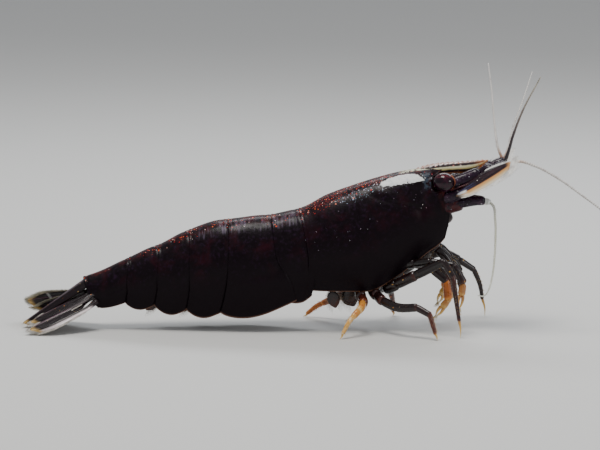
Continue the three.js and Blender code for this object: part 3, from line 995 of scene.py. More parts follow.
# One joint-to-joint length of a limb: slimmer at its root, a low collar round its far end.
def addArticle(bm, points, startSize, endSize, tone, around, along, flat=1.0, collar=0.04, jointTone=0.14):
    if len(points) == 2:
        points = [points[0], (points[0] + points[1]) / 2, points[1]]
    length = sum((Vector(b) - Vector(a)).length for a, b in zip(points, points[1:]))
    rootCap = min(0.3, 0.6 * startSize / length)
    endCap = min(0.3, 0.75 * endSize / length)

    def sizeAt(t):
        size = lerp(startSize, endSize, t) * (1 + 0.04 * math.sin(math.pi * t))
        size *= 0.82 + 0.18 * smoothStep(t, 0, rootCap * 2.4)
        size *= 1 + collar * smoothStep(t, 1 - endCap * 2.8, 1 - endCap * 1.1)
        size *= capped(min(t, 0.5), rootCap) * capped(max(t, 0.5), endCap)
        return size * flat, size

    def toneAt(t):
        atRoot = 1 - smoothStep(t, 0, rootCap * 1.5)
        return min(1.0, tone + jointTone * (smoothStep(t, 1 - endCap * 2, 1 - endCap * 0.7) + 0.6 * atRoot))

    tube(bm, points, sizeAt, around, along, toneAt, ease=0.85)


def makeFaceMaterial():
    look = faceLook
    spot = startMaterial("feeler bases")
    tone = attribute("tone")
    clouds = noiseAt(spot, 2.4, 4.0, 0.6, 0.4)
    veins = noiseAt(spot, 6.5, 4.0, 0.7)
    color = over(ramp(clouds, look["clouds"]), rise(veins, 0.58, 0.74), look["veins"], 0.55)
    color = over(color, times(rise(tone, 0.15, 0.45), rise(clouds, 0.3, 0.56)), look["red"], 0.9)
    color = speckled(color, spot, 10.0, 0.27, 0.13, look["specks"], 0.9)
    color = over(color, rise(tone, 0.8, 0.97), ramp(veins, look["pale"]))
    roughness = plus(times(clouds, 0.2), 0.16)
    return finishMaterial(color, roughness, veins, 0.3, 0.03, clearCoat(0.24, 0.1, 0.15))


def makeAntennule(label, side, material):
    look = antennule
    bm = newMesh()
    path = onSide(look["path"], side)
    last = len(path) - 1
    for i, (first, final) in enumerate(look["sizes"]):
        start, end = look["joints"][i] * last, look["joints"][i + 1] * last
        points = stretch(path, max(0, start - 0.07), end + 0.05)
        addArticle(bm, points, first, final, 0.05, 28, 34, 0.95, 0.035, 0.06)
        rim, forwards, sideways, upwards = pathSteps(stretch(path, start, end), 20)[19]
        for k in range(look["jointHairs"]):
            angle = fullTurn * (k + random.random() * 0.5) / look["jointHairs"]
            outwards = outwardsAt(angle, sideways, upwards)
            reach = (forwards + outwards * 0.45) * random.uniform(0.12, 0.2)
            addHair("joint_hairs", f"antennule {label} {i}", rim + outwards * final * 0.97, reach,
                    forwards * 0.03, look["hairWidth"], angle / fullTurn, 0.95)

    # A pointed scale lies along the outer side of the first length.
    def scaleSize(t):
        close = capped(t, 0.12)
        return 0.17 * (1 - t) ** 0.7 * close + 0.004, 0.075 * (1 - t) ** 0.6 * close + 0.004

    tube(bm, onSide(look["spine"], side), scaleSize, 14, 22, lambda t: 0.35 + 0.2 * t)
    addPiece(bm, f"antennule_base_{label}", material, "shell", [f"antennule_{label}"])


def makeAntennaBase(label, side, material):
    look = antennaBase
    bm = newMesh()
    drop = look["leftDrop"] if label == "left" else 0.0
    for part in ("base", "scaleRoot", "arm", "last"):
        path, *sizes = look[part]
        path = onSide(path, side)
        if part == "arm":
            path = [(x, y, z - drop * smoothStep(x, path[0][0], path[-1][0])) for x, y, z in path]
        if part == "last":
            path = [(x, y, z - drop) for x, y, z in path]
        addArticle(bm, path, *sizes)
    # Short spines at the end of the arm.
    for off, reach in look["spines"]:
        x, y, z = look["spineRoot"]
        root = Vector((x, y * side + off, z - abs(off) - drop))
        spike(bm, root, root + Vector((reach, 0.1 * side * off, -0.07)), 0.035, 0.002, 8, 8, 1.0, cap=0.2)
    addPiece(bm, f"antenna_arm_{label}", material, "shell", [f"antenna_base_{label}"])


faceFinish = makeFaceMaterial()
for label, side in sides.items():
    makeAntennule(label, side, faceFinish)
    makeAntennaBase(label, side, faceFinish)

# Walls, fringes and colours of the antennal scales and the tail fan.
bladeLook = {
    "wall": 0.035,
    "telsonWall": 0.1,
    "columns": 26,
    "rows": 44,
    "fringeWidth": 0.011,
    "fanFringe": (150, 0.32, 0.22),  # setae an edge, length and where along the blade it starts
    "telsonFringe": (16, 0.2, 0.8),
    "streaks": (26, 2.2, 1),  # how many streaks across a blade, and how broken along it
    "scaleTones": [(0.36, 0.006, 0.003, 0.005), (0.56, 0.022, 0.007, 0.012), (0.74, 0.07, 0.026, 0.038)],
    "fanTones": [(0.36, 0.004, 0.002, 0.003), (0.58, 0.01, 0.003, 0.005), (0.78, 0.045, 0.01, 0.015)],
    "scaleMargin": [(0.7, 0.62, 0.2, 0.04), (0.84, 0.85, 0.52, 0.22), (0.95, 0.9, 0.78, 0.58)],
    "scaleTip": (0.8, 0.42, 0.18),
    "blue": (0.07, 0.09, 0.26),
    "rootWhite": (0.86, 0.88, 0.9),
    "rootDark": (0.02, 0.008, 0.012),
    "fanEdge": [(0.35, 0.45, 0.3, 0.32), (0.6, 0.85, 0.8, 0.8)],
    "edgeAmount": {"outer": 0.95, "inner": 0.12},
    "fanTip": (0.74, 0.48, 0.16),
    # Painted highlights on the outer tail blades.
    "streak": (0.88, 0.88, 0.86),
    "strokeHighlight": (0.66, 0.7, 0.68),
    "ridge": (0.21, 0.1, 0.15),
    "specks": [(0.0, 0.55, 0.06, 0.03), (0.5, 0.75, 0.45, 0.12), (1.0, 0.86, 0.84, 0.8)],
}

# Outline gives the width along the blade, fringe the setae's length, both as shares of the greatest.
blades = {
    "scale": {"base": (7.75, 1.06, 6.84), "tip": (10.46, 1.48, 8.54), "width": 1.02, "lean": (0.75, -0.66),
              "camber": (0.1, 0.1), "round": 0.08,
              "outline": [(0, 0.34), (0.12, 0.72), (0.35, 1.0), (0.6, 0.97),
                          (0.8, 0.8), (0.93, 0.54), (1, 0.32)],
              "ridges": [(-0.45, 0.03), (0.55, 0.05)],
              "fringe": [(0, 0.1), (0.25, 0.22), (0.6, 0.55), (0.85, 0.85), (1, 1.0)]},
    "telson": {"base": (-10.45, 0, 2.26), "tip": (-13.83, 0, 0.12), "width": 1.16, "lean": (1, 0),
               "camber": (0.36, 0.12), "round": 0.05,
               "outline": [(0, 0.86), (0.12, 1.0), (0.5, 0.76), (0.85, 0.52), (1, 0.36)],
               "ridges": [(-0.5, 0.04), (0.5, 0.04)],
               "fringe": [(0, 0.5), (0.5, 0.6), (1, 1.0)]},
    "inner": {"base": (-10.3, 0.42, 1.82), "tip": (-13.42, 1.0, 0.38), "width": 1.0, "lean": (0.9, -0.35),
              "camber": (0.16, 0.09), "round": 0.1,
              "outline": [(0, 0.5), (0.15, 0.82), (0.5, 1.0), (0.8, 0.93), (1, 0.55)],
              "ridges": [(0.0, 0.06)],
              "fringe": [(0, 0.2), (0.3, 0.6), (0.8, 1.0), (1, 1.0)]},
    "outer": {"base": (-10.15, 0.6, 1.46), "tip": (-13.38, 1.97, 0.16), "width": 1.15, "lean": (0.9, -0.35),
              "camber": (0.14, 0.1), "round": 0.1,
              "outline": [(0, 0.42), (0.12, 0.72), (0.45, 1.0), (0.8, 0.95), (1, 0.58)],
              "ridges": [(-0.25, 0.06), (0.62, 0.05)],
              "fringe": [(0, 0.2), (0.3, 0.6), (0.8, 1.0), (1, 1.0)]},
}
# The left tail blades are raised, and the outer one turns its face to the side.
blades["inner_left"] = {**blades["inner"], "tip": (-13.48, 1.0, 0.78), "lean": (0.8, -0.5)}
blades["outer_left"] = {**blades["outer"], "tip": (-13.84, 1.9, 0.94), "lean": (0.5, -0.8), "width": 1.06}

# Each fringe: its coat, its host, setae an edge, length, where along the blade it starts and on which edges.
scaleFringes = [("scale_fringe", "outer edge", 380, 0.62, 0.06, (1,)),
                ("scale_fringe", "inner edge", 60, 0.3, 0.55, (-1,))]


# How a blade lies: its base, its reach to the tip, and the directions across it and out of it.
def bladeFrame(blade, side):
    base = mirrored(blade["base"], side)
    reach = mirrored(blade["tip"], side) - base
    lean = Vector((0, blade["lean"][0] * side, blade["lean"][1]))
    normal = reach.normalized().cross(lean).normalized()
    across = normal.cross(reach.normalized())
    return base, reach, across, -normal if normal.z < 0 else normal


# A point of a blade: across from -1 to 1, along from 0 to 1.
def bladePoint(blade, lying, across, along):
    base, reach, sideways, normal = lying
    half = blade["width"] / 2 * through(blade["outline"])(along)
    arc = along - blade["round"] * across * across * smoothStep(along, 0.55, 1.0)
    raised = lerp(*blade["camber"], along) * (1 - across * across)
    for at, height in blade["ridges"]:
        raised += height * bump(across, at, 0.1) * math.sin(math.pi * min(1, 0.1 + along * 0.9)) ** 0.5
    raised -= 0.1 * along * along * abs(across) ** 3
    return base + reach * arc + sideways * (half * across) + normal * raised


# Pale lower margin, orange where it meets the blade and cream outside, and white and blue near the root.
def scaleMarks(color, across, along, streaks):
    look = bladeLook
    color = over(color, rise(across, 0.68, 0.8), ramp(across, look["scaleMargin"]))
    color = over(color, rise(along, 0.9, 1.0), look["scaleTip"], 0.85)
    blue = times(between(along, 0.12, 0.26, 0.14), between(across, 0.48, 0.58, 0.12), rise(streaks, 0.4, 0.6))
    color = over(color, blue, look["blue"], 0.55)
    white = times(between(along, 0.06, 0.16, 0.05), between(across, 0.62, 0.84, 0.12),
                  rise(streaks, 0.36, 0.52))
    color = over(color, white, look["rootWhite"])
    return over(color, times(inverse(rise(along, 0.02, 0.16)), rise(across, 0.5, 0.9)), look["rootDark"])


# Pale outer edge, amber tip and a ridge line, and on the outer blades painted highlights.
def fanMarks(color, kind, spot, across, along, streaks, streakPlace):
    look = bladeLook
    outer = times(rise(across, 0.84, 0.92), between(along, 0.16, 0.93, 0.08))
    edge = ramp(noiseAt(streakPlace, 2.0, 3.0), look["fanEdge"])
    color = over(color, outer, edge, look["edgeAmount"][kind])
    color = over(color, times(rise(along, 0.9, 0.99), rise(streaks, 0.35, 0.55)), look["fanTip"], 0.9)
    if kind == "outer":
        # A painted highlight: a short bright streak that runs down and outwards from the root.
        slant = maths("ABSOLUTE", minus(minus(across, times(along, 1.5)), 0.42))
        taper = times(between(along, 0.13, 0.16, 0.11), 0.075)
        color = over(color, rise(minus(taper, slant), 0.0, 0.02), look["streak"])
        # The left blade has a painted highlight, a pale mark across its middle.
        x, y, z = partsOf(spot)
        off = maths("ABSOLUTE", plus(plus(x, times(z, 0.46)), 12.06))
        room = plus(times(between(z, 1.3, 1.5, 0.22), 0.1), swing(streaks, 0.22))
        color = over(color, times(rise(minus(room, off), 0.0, 0.07), rise(y, 0.8, 1.1)), look["strokeHighlight"], 0.85)
    ridge = times(between(across, 0.36, 0.4, 0.03), between(along, 0.1, 0.9, 0.1))
    return over(color, ridge, look["ridge"], 0.5)


# kind is "scale", "outer" or "inner".
def makeBladeMaterial(name, kind):
    look = bladeLook
    spot = startMaterial(name)
    surface = surfacePlace()
    across, along, _ = partsOf(surface)
    streakPlace = stretched(surface, look["streaks"])
    streaks = noiseAt(streakPlace, 1.0, 4.0, 0.6, 0.2)
    if kind == "scale":
        color = scaleMarks(ramp(streaks, look["scaleTones"]), across, along, streaks)
    else:
        color = fanMarks(ramp(streaks, look["fanTones"]), kind, spot, across, along, streaks, streakPlace)
    color = speckled(color, spot, 9.0, 0.3, 0.09, look["specks"])
    roughness = plus(times(streaks, 0.2), 0.18)
    return finishMaterial(color, roughness, streaks, 0.4, 0.04, clearCoat(0.18, 0.08, 0.2))


# A fringe of setae round a blade's edge, from one share of its length to the tip and back.
def fringeBlade(blade, lying, coat, host, count, length, start, edges=(-1, 1)):
    _, reach, sideways, normal = lying
    width = bladeLook["fringeWidth"]
    forwards = reach.normalized()
    outlineAt, lengthAt = through(blade["outline"]), through(blade["fringe"])
    for edge in edges:
        for i in range(count):
            t = start + (1 - start) * (i + random.random() * 0.6) / count
            root = bladePoint(blade, lying, edge * 0.97, min(t, 0.995))
            slope = (outlineAt(min(1, t + 0.02)) - outlineAt(max(0, t - 0.02))) * blade["width"] / 2
            outwards = (sideways * edge - forwards * (slope / (0.04 * reach.length))).normalized()
            size = length * lengthAt(t) * random.uniform(0.85, 1.1)
            direction = (outwards + forwards * lerp(0.55, 1.5, t ** 2)).normalized() * size
            droop = normal * random.uniform(-0.05, 0.03) * size + forwards * 0.18 * size
            addHair(coat, host, root, direction, droop, width, 0.5 + edge * 0.45, t)
    endCount = count // 3
    for i in range(endCount):
        across = -0.95 + 1.9 * (i + random.random() * 0.6) / endCount
        root = bladePoint(blade, lying, across, 0.99)
        fan = (forwards + sideways * across * 0.5).normalized() * length * random.uniform(0.75, 1.0)
        droop = normal * random.uniform(-0.06, 0.06) * length
        addHair(coat, host, root, fan, droop, width, 0.5 + across * 0.45, 0.99)


# solid is the CAD solid that the blade replaces.
def makeBlade(solid, name, blade, side, material, fringes, wall=bladeLook["wall"]):
    lying = bladeFrame(blade, side)
    bm = newMesh()
    shapedGrid(bm, bladeLook["columns"], bladeLook["rows"],
               lambda u, v: bladePoint(blade, lying, 2 * u - 1, v), wrap=False)
    addPiece(bm, name, material, "blade", [solid], closed=False, wall=wall, offset=0.0, levels=1)
    for fringe in fringes:
        fringeBlade(blade, lying, *fringe)


scaleFinish = makeBladeMaterial("antennal scale", "scale")
fanFinish = {part: makeBladeMaterial(f"tail fan {part}", part) for part in ("outer", "inner")}
for label, side in sides.items():
    fringes = [(f"{coat}_{label}", *values) for coat, *values in scaleFringes]
    makeBlade(f"antennal_scale_{label}", f"antennal_scale_blade_{label}", blades["scale"], side,
              scaleFinish, fringes)
    for part in ("inner", "outer"):
        name = f"tail_blade_{part}_{label}"
        blade = blades[part if label == "right" else f"{part}_left"]
        fringes = [(f"fan_fringe_{label}", part, *bladeLook["fanFringe"])]
        makeBlade(name, f"{name}_plate", blade, side, fanFinish[part], fringes)
fringes = [("telson_fringe", "telson", *bladeLook["telsonFringe"])]
makeBlade("telson", "telson_plate", blades["telson"], 1, fanFinish["inner"], fringes, bladeLook["telsonWall"])
print("blades done")

# Joints from the hip to the tip, and at which of them each length ends. tones: 0 dark to 1 pale amber.
walkingLegs = {
    "leg_3_right": {
        "joints": [(4.3, -0.75, 2.1), (5.7, -1.75, 2.95), (7.1, -2.4, 3.75), (7.55, -2.65, 3.0),
                   (7.7, -2.8, 1.9), (7.85, -2.95, 0.9), (7.92, -3.0, 0.0)],
        "breaks": [0, 0.35, 1, 2, 3, 5, 6], "tones": [0.05, 0.12, 0.0, 0.16, 0.26]},
    "leg_3_left": {
        "joints": [(4.3, 0.75, 2.15), (6.0, 2.05, 3.1), (7.3, 2.4, 3.4), (8.05, 2.5, 3.05),
                   (8.85, 2.65, 2.5), (9.2, 2.8, 1.6), (9.45, 3.0, 0.0)],
        "breaks": [0, 0.35, 1, 3, 4, 5.4, 6], "tones": [0.05, 0.1, 0.0, 0.12, 0.15]},
    "leg_4_right": {
        "joints": [(3.6, -0.7, 2.0), (4.1, -1.6, 1.65), (4.9, -2.4, 1.45), (5.75, -2.9, 1.55),
                   (6.4, -3.3, 1.25), (6.75, -3.55, 0.0)],
        "breaks": [0, 0.45, 1, 3, 4, 4.72, 5], "tones": [0.1, 0.18, 0.1, 0.2, 0.4]},
    "leg_4_left": {
        "joints": [(3.65, 0.7, 2.0), (4.2, 1.6, 1.75),
                   (4.6, 2.4, 1.45), (4.75, 2.95, 0.8), (4.75, 3.3, 0.0)],
        "breaks": [0, 0.4, 1, 2.15, 2.8, 3.7, 4], "tones": [0.05, 0.1, 0.1, 0.3, 0.4]},
    "leg_5_right": {
        "joints": [(2.95, -0.7, 1.95), (3.15, -1.45, 1.55),
                   (3, -2.15, 1.35), (2.5, -2.7, 0.9), (1.95, -3.2, 0.0)],
        "breaks": [0, 0.5, 1.2, 2.2, 2.75, 3.72, 4], "tones": [0.1, 0.3, 0.72, 0.7, 0.82]},
    "leg_5_left": {
        "joints": [(2.9, 0.7, 1.95), (2.6, 1.4, 1.55),
                   (1.75, 2.0, 1.15), (0.9, 2.6, 0.65), (0.15, 3.0, 0.0)],
        "breaks": [0, 0.5, 1.1, 2.1, 2.7, 3.72, 4], "tones": [0.1, 0.2, 0.4, 0.55, 0.6]},
}
walkingSizes = [0.31, 0.27, 0.245, 0.19, 0.14, 0.085]
hookSize = (0.085, 0.01)

# Joints from the hip to the pincer's tip. wristTone is the tone of the length before the pincer.
clawLegs = {
    "leg_1_right": {
        "joints": [(5.8, -0.5, 3.8), (6.6, -0.75, 3.05),
                   (7.3, -0.85, 2.5), (7.4, -0.95, 1.6), (6.8, -1.0, 0.8)],
        "tone": 0.1, "wristTone": 0.56},
    "leg_1_left": {
        "joints": [(5.8, 0.5, 3.8), (6.7, 0.6, 3.2),
                   (7.45, 0.8, 2.6), (7.7, 0.9, 1.7), (7.3, 0.95, 0.95)],
        "tone": 0.2, "wristTone": 0.35},
    "leg_2_right": {
        "joints": [(5.2, -0.8, 3.35), (6.5, -1.5, 3.6),
                   (7.65, -1.8, 3.45), (8.1, -1.9, 2.6), (7.9, -1.9, 1.35)],
        "tone": 0.0, "wristTone": 0.15},
    "leg_2_left": {
        "joints": [(5.2, 0.7, 3.2), (6.5, 1.25, 2.9),
                   (7.35, 1.6, 2.65), (7.35, 1.75, 1.75), (7.0, 1.8, 0.95)],
        "tone": 0.25, "wristTone": 0.63},
}
clawSizes = [0.25, 0.22, 0.18, 0.17, 0.18]
clawBreaks = [(0, 0.4), (0.4, 1), (1, 2), (2, 3)]  # where each length starts and ends along the joints

maxillipeds = {
    "maxilliped_right": [(6.45, -0.42, 4.5), (7.3, -0.5, 3.6), (7.9, -0.55, 2.7), (8.1, -0.58, 1.7)],
    "maxilliped_left": [(6.45, 0.42, 4.5), (7.35, 0.5, 3.7), (8.0, 0.56, 2.9), (8.3, 0.58, 2.0)],
}
# Where each length starts and ends along those points, and its first and last size.
maxillipedLengths = [(0, 0.5, 0.28, 0.25), (0.42, 1.35, 0.24, 0.19), (1.28, 2.2, 0.18, 0.14),
                     (2.14, 3, 0.13, 0.03)]

limbLook = {
    "tones": [(0.0, 0.007, 0.003, 0.003), (0.22, 0.016, 0.005, 0.005), (0.42, 0.1, 0.018, 0.008),
              (0.62, 0.52, 0.14, 0.018), (0.8, 0.74, 0.38, 0.07), (1.0, 0.84, 0.72, 0.46)],
    "specks": [(0.0, 0.4, 0.03, 0.015), (0.6, 0.66, 0.34, 0.06), (1.0, 0.8, 0.72, 0.62)],
    "clawTones": [(0.0, 0.05, 0.012, 0.006), (0.4, 0.42, 0.16, 0.03), (0.75, 0.72, 0.44, 0.1),
                  (1.0, 0.86, 0.76, 0.5)],
    "hairWidth": 0.008,
}
tuftCount = 26  # setae on each finger of a pincer


def makeLimbMaterial():
    spot = startMaterial("legs")
    clouds = noiseAt(spot, 3.0, 4.0, 0.65, 0.3)
    color = ramp(plus(attribute("tone"), swing(clouds, 0.42)), limbLook["tones"])
    color = speckled(color, spot, 6.5, 0.34, 0.12, limbLook["specks"], 0.8)
    grain = noiseAt(spot, 12.0, 3.0, 0.6)
    roughness = plus(times(clouds, 0.24), 0.16)
    return finishMaterial(color, roughness, grain, 0.25, 0.02, clearCoat(0.3, 0.08, 0.35))


def makeClawMaterial():
    clouds = noiseAt(startMaterial("claws"), 5.0, 4.0, 0.6)
    color = ramp(plus(attribute("tone"), swing(clouds, 0.3)), limbLook["clawTones"])
    return finishMaterial(color, 0.24, clouds, 0.2, 0.02, clearCoat(0.6, 0.06))


limbFinish, clawFinish = makeLimbMaterial(), makeClawMaterial()


# Lengthens a path at both ends, each by a size times a share, so that neighbouring lengths overlap.
def lapped(points, before, beforeShare, after, afterShare):
    points[0] = points[0] - (points[1] - points[0]).normalized() * before * beforeShare
    points[-1] = points[-1] + (points[-1] - points[-2]).normalized() * after * afterShare
    return points


def hairsAlong(host, points, count, length, spread, radius):
    steps = pathSteps(points, count)
    for i in range(1, count):
        spot, forwards, sideways, upwards = steps[i]
        for _ in range(spread):
            angle = random.uniform(0, fullTurn)
            outwards = outwardsAt(angle, sideways, upwards)
            size = length * random.uniform(0.6, 1.1)
            root = spot + outwards * radius(i / count) * 0.9
            reach = (outwards * 0.7 + forwards) * size * 0.8
            addHair("leg_hairs", host, root, reach, forwards * size * 0.2, limbLook["hairWidth"],
                    angle / fullTurn, i / count)


def makeWalkingLeg(name, leg):
    joints, breaks = leg["joints"], leg["breaks"]
    lengths = [stretch(joints, start, end) for start, end in zip(breaks, breaks[1:])]
    bm = newMesh()
    for i, tone in enumerate(leg["tones"]):
        size, nextSize = walkingSizes[i:i + 2]
        points = lapped(list(lengths[i]), size, 0.55, nextSize, 0.5)
        addArticle(bm, points, size * 0.98, nextSize * 1.04, tone, 20, 30, 0.78 if i == 2 else 0.88)
    # Small spines under the two long lengths.
    for i, count in ((2, 3), (4, 6)):
        steps = pathSteps(lengths[i], 24)
        for k in range(1, count + 1):
            share = k / (count + 1)
            spot, forwards, _, upwards = steps[int(24 * k / (count + 1))]
            root = spot - upwards * lerp(walkingSizes[i], walkingSizes[i + 1], share) * 0.85
            spike(bm, root, root + (forwards * 0.8 - upwards * 0.5) * 0.15, 0.022, 0.001, 6, 5, 0.85)
    addPiece(bm, f"{name}_limb", limbFinish, "limb", [name])
    hairsAlong(name, lengths[4], 12, 0.16, 2, lambda t: lerp(0.15, 0.09, t))
    hairsAlong(name + " merus", lengths[2], 8, 0.14, 1, lambda t: 0.22)
    return lengths[5]


# The last length of a walking leg: a hooked claw with small spines inside the hook.
def addHook(bm, points):
    root, tip = points[0], points[-1]
    reach = tip - root
    bulge = Vector((reach.y, -reach.x, 0)).normalized() * 0.02 + Vector((0.05, 0, 0))
    path = [root, lerp(root, tip, 0.5) + bulge, tip + Vector((0, 0, 0.012))]

    def size(t):
        thick = lerp(*hookSize, t ** 0.8) * capped(t, 0.12)
        return thick * 0.8, thick

    tube(bm, path, size, 14, 26, lambda t: 0.55 + 0.4 * t, ease=0.6)
    for share in (0.42, 0.56, 0.7, 0.83):
        start = pointAt(path, share * 2)
        spike(bm, start, start + Vector((-0.09, 0, -0.07)) * (1.15 - share), 0.02, 0.001, 6, 5, 0.9)


# A small pincer: palm, fixed finger and moving finger, both tufted at the tip.
def addPincer(bm, host, root, tip, tone):
    reach = tip - root
    forwards = reach.normalized()
    sideways = forwards.cross(Vector((0, 1, 0))).normalized()
    palmEnd = root + reach * 0.52
    addArticle(bm, [root, (root + palmEnd) / 2, palmEnd], 0.17, 0.185, tone, 18, 20, 0.8, 0.02, 0.2)

    def size(t):
        thick = lerp(0.1, 0.035, t) * capped(t, 0.14)
        return thick * 0.7, thick

    for sign in (-1, 1):
        start = palmEnd - forwards * 0.06 + sideways * 0.075 * sign
        end = tip + sideways * 0.03 * sign
        middle = (start + end) / 2 + sideways * 0.05 * sign
        tube(bm, [start, middle, end], size, 12, 18, lambda t: tone + 0.45 * t, ease=0.7)
        for _ in range(tuftCount):
            angle = random.uniform(0, fullTurn)
            outwards = Vector((math.cos(angle), math.sin(angle), math.sin(angle * 1.7) * 0.4)) * 0.5
            root = end - forwards * random.uniform(0, 0.1)
            tuft = (forwards + outwards).normalized() * random.uniform(0.18, 0.34)
            addHair("pincer_tufts", f"{host} {sign}", root, tuft, forwards * 0.05, limbLook["hairWidth"],
                    0.5 + 0.4 * math.cos(angle), 0.5 + 0.4 * math.sin(angle))


def makeLegs():
    hooks, pincers = newMesh(), newMesh()
    for name, leg in walkingLegs.items():
        addHook(hooks, makeWalkingLeg(name, leg))
    addPiece(hooks, "walking_claws", clawFinish, "limb")
    for name, leg in clawLegs.items():
        joints, tone = leg["joints"], leg["tone"]
        bm = newMesh()
        for i, (start, end) in enumerate(clawBreaks):
            points = lapped(stretch(joints, start, end), clawSizes[i], 0.5, 0.06, 1.0)
            swell, shade = (1.15, leg["wristTone"]) if i == 3 else (1.03, tone)
            addArticle(bm, points, clawSizes[i], clawSizes[i + 1] * swell, shade, 20, 28, 0.85)
        addPiece(bm, f"{name}_limb", limbFinish, "limb", [name])
        hairsAlong(name, stretch(joints, 1, 2.8), 12, 0.15, 1, lambda t: 0.2)
        addPincer(pincers, name, Vector(joints[3]), Vector(joints[4]), tone + 0.35)
    addPiece(pincers, "pincers", clawFinish, "limb")
    for name, points in maxillipeds.items():
        bm = newMesh()
        for start, end, first, last in maxillipedLengths:
            addArticle(bm, stretch(points, start, end), first, last, 0.06, 16, 20, 0.8)
        addPiece(bm, f"{name}_limb", limbFinish, "limb", [name])
        hairsAlong(name, stretch(points, 0.9, 2.95), 26, 0.24, 3, lambda t: lerp(0.2, 0.06, t))


makeLegs()

# Mouthparts: a rounded lip, jaws, and overlapping folded plates that face forwards and outwards.
# For each plate: its root, its tip, its half width, how far it bulges and which way its face is turned.
mouthparts = [
    ((6.98, 0.36, 5.55), (6.74, 0.46, 4.45), 0.36, 0.14, 35),
    ((6.75, 0.52, 5.15), (6.48, 0.62, 3.98), 0.36, 0.15, 52),
    ((6.45, 0.64, 4.8), (6.2, 0.72, 3.55), 0.36, 0.16, 66),
    ((7.05, 0.16, 5.25), (6.88, 0.2, 4.4), 0.22, 0.1, 14),
]
plateHairs = 40  # round the edge of each mouth plate
# For the lip and a jaw: root, tip and how far the middle bulges, then first and last size, tone and so on.
lip = ((6.75, 0, 6.15), (7.42, 0, 5.3), (0.1, 0, 0.06), 0.36, 0.3, 0.16, 26, 26, 1.1, 0.05, 0.1)
jaw = ((6.7, 0.5, 5.7), (7.3, 0.17, 5.12), (0.12, 0.08, 0), 0.27, 0.17, 0.22, 22, 22, 0.9, 0.04, 0.2)


def leafOutline(share):
    return math.sin(math.pi * (0.14 + 0.76 * share))


def addMouthPlate(bm, side, root, tip, half, bulge, turned):
    start, end = mirrored(root, side), mirrored(tip, side)
    forwards = (end - start).normalized()
    facing = Vector((math.cos(math.radians(turned)), math.sin(math.radians(turned)) * side, 0))
    breadth = facing.cross(forwards).normalized()

    def place(u, v):
        close = capped(v, 0.12)
        wide = half * max(0.03, leafOutline(v)) ** 0.6 * close
        share = math.cos(fullTurn * u)
        raised = bulge * (1 - share * share) * math.sin(math.pi * min(1, 0.15 + v * 0.8))
        raised += 0.03 * bump(share, 0.3, 0.2) * capped(v, 0.3)
        thick = 0.035 * math.sin(fullTurn * u) * close
        return start.lerp(end, v) + breadth * (share * wide) + facing * (raised + thick), 0.06 + 0.16 * v * v

    shapedGrid(bm, 28, 24, place, masks=("tone",))
    for i in range(plateHairs):
        share = (i + 0.5) / plateHairs
        edge = -1 if i % 2 else 1
        spot = start.lerp(end, share) + breadth * (edge * (half * leafOutline(share) ** 0.6) * 0.96)
        reach = (breadth * edge * 0.5 + forwards * 0.9 + facing * 0.3) * 0.17 * random.uniform(0.7, 1.3)
        addHair("leg_hairs", f"mouthparts {side} {half} {turned}", spot, reach, forwards * 0.04, 0.007,
                0.5 + 0.4 * edge, share)


def addBentArticle(bm, side, root, tip, bulge, *sizes):
    start, end = mirrored(root, side), mirrored(tip, side)
    addArticle(bm, [start, (start + end) / 2 + mirrored(bulge, side), end], *sizes)


def makeMouth():
    bm = newMesh()
    for side in sides.values():
        for plate in mouthparts:
            addMouthPlate(bm, side, *plate)
    addBentArticle(bm, 1, *lip)
    for side in sides.values():
        addBentArticle(bm, side, *jaw)
    addPiece(bm, "mouthparts", limbFinish, "limb")


makeMouth()
print("legs done")

# The swimming legs.
pleopods = {
    "tops": [(0.42, 1.9), (-0.5, 2.3), (-2.5, 2.45), (-4.2, 2.95), (-5.8, 3.5)],
    "across": [0.42, 0.39, 0.36, 0.33, 0.3],
    "backwards": (-1.15, 0, -0.7),
    # The first pair: root, reach to the tip and how wide the leaves are.
    "first": {"right": ((1.45, 2.5), (0.34, 0, -1.42), 0.62), "left": ((2.05, 2.45), (0.68, 0, -1.46), 0.86)},
    "stemShare": 0.42,
    "leafWidth": 0.52,
    "leaves": ((0.07, 1.0), (-0.08, 0.8)),  # how far off the stem's middle, and how big
    "fringeCount": 34,
    "fringeLength": 0.3,
}


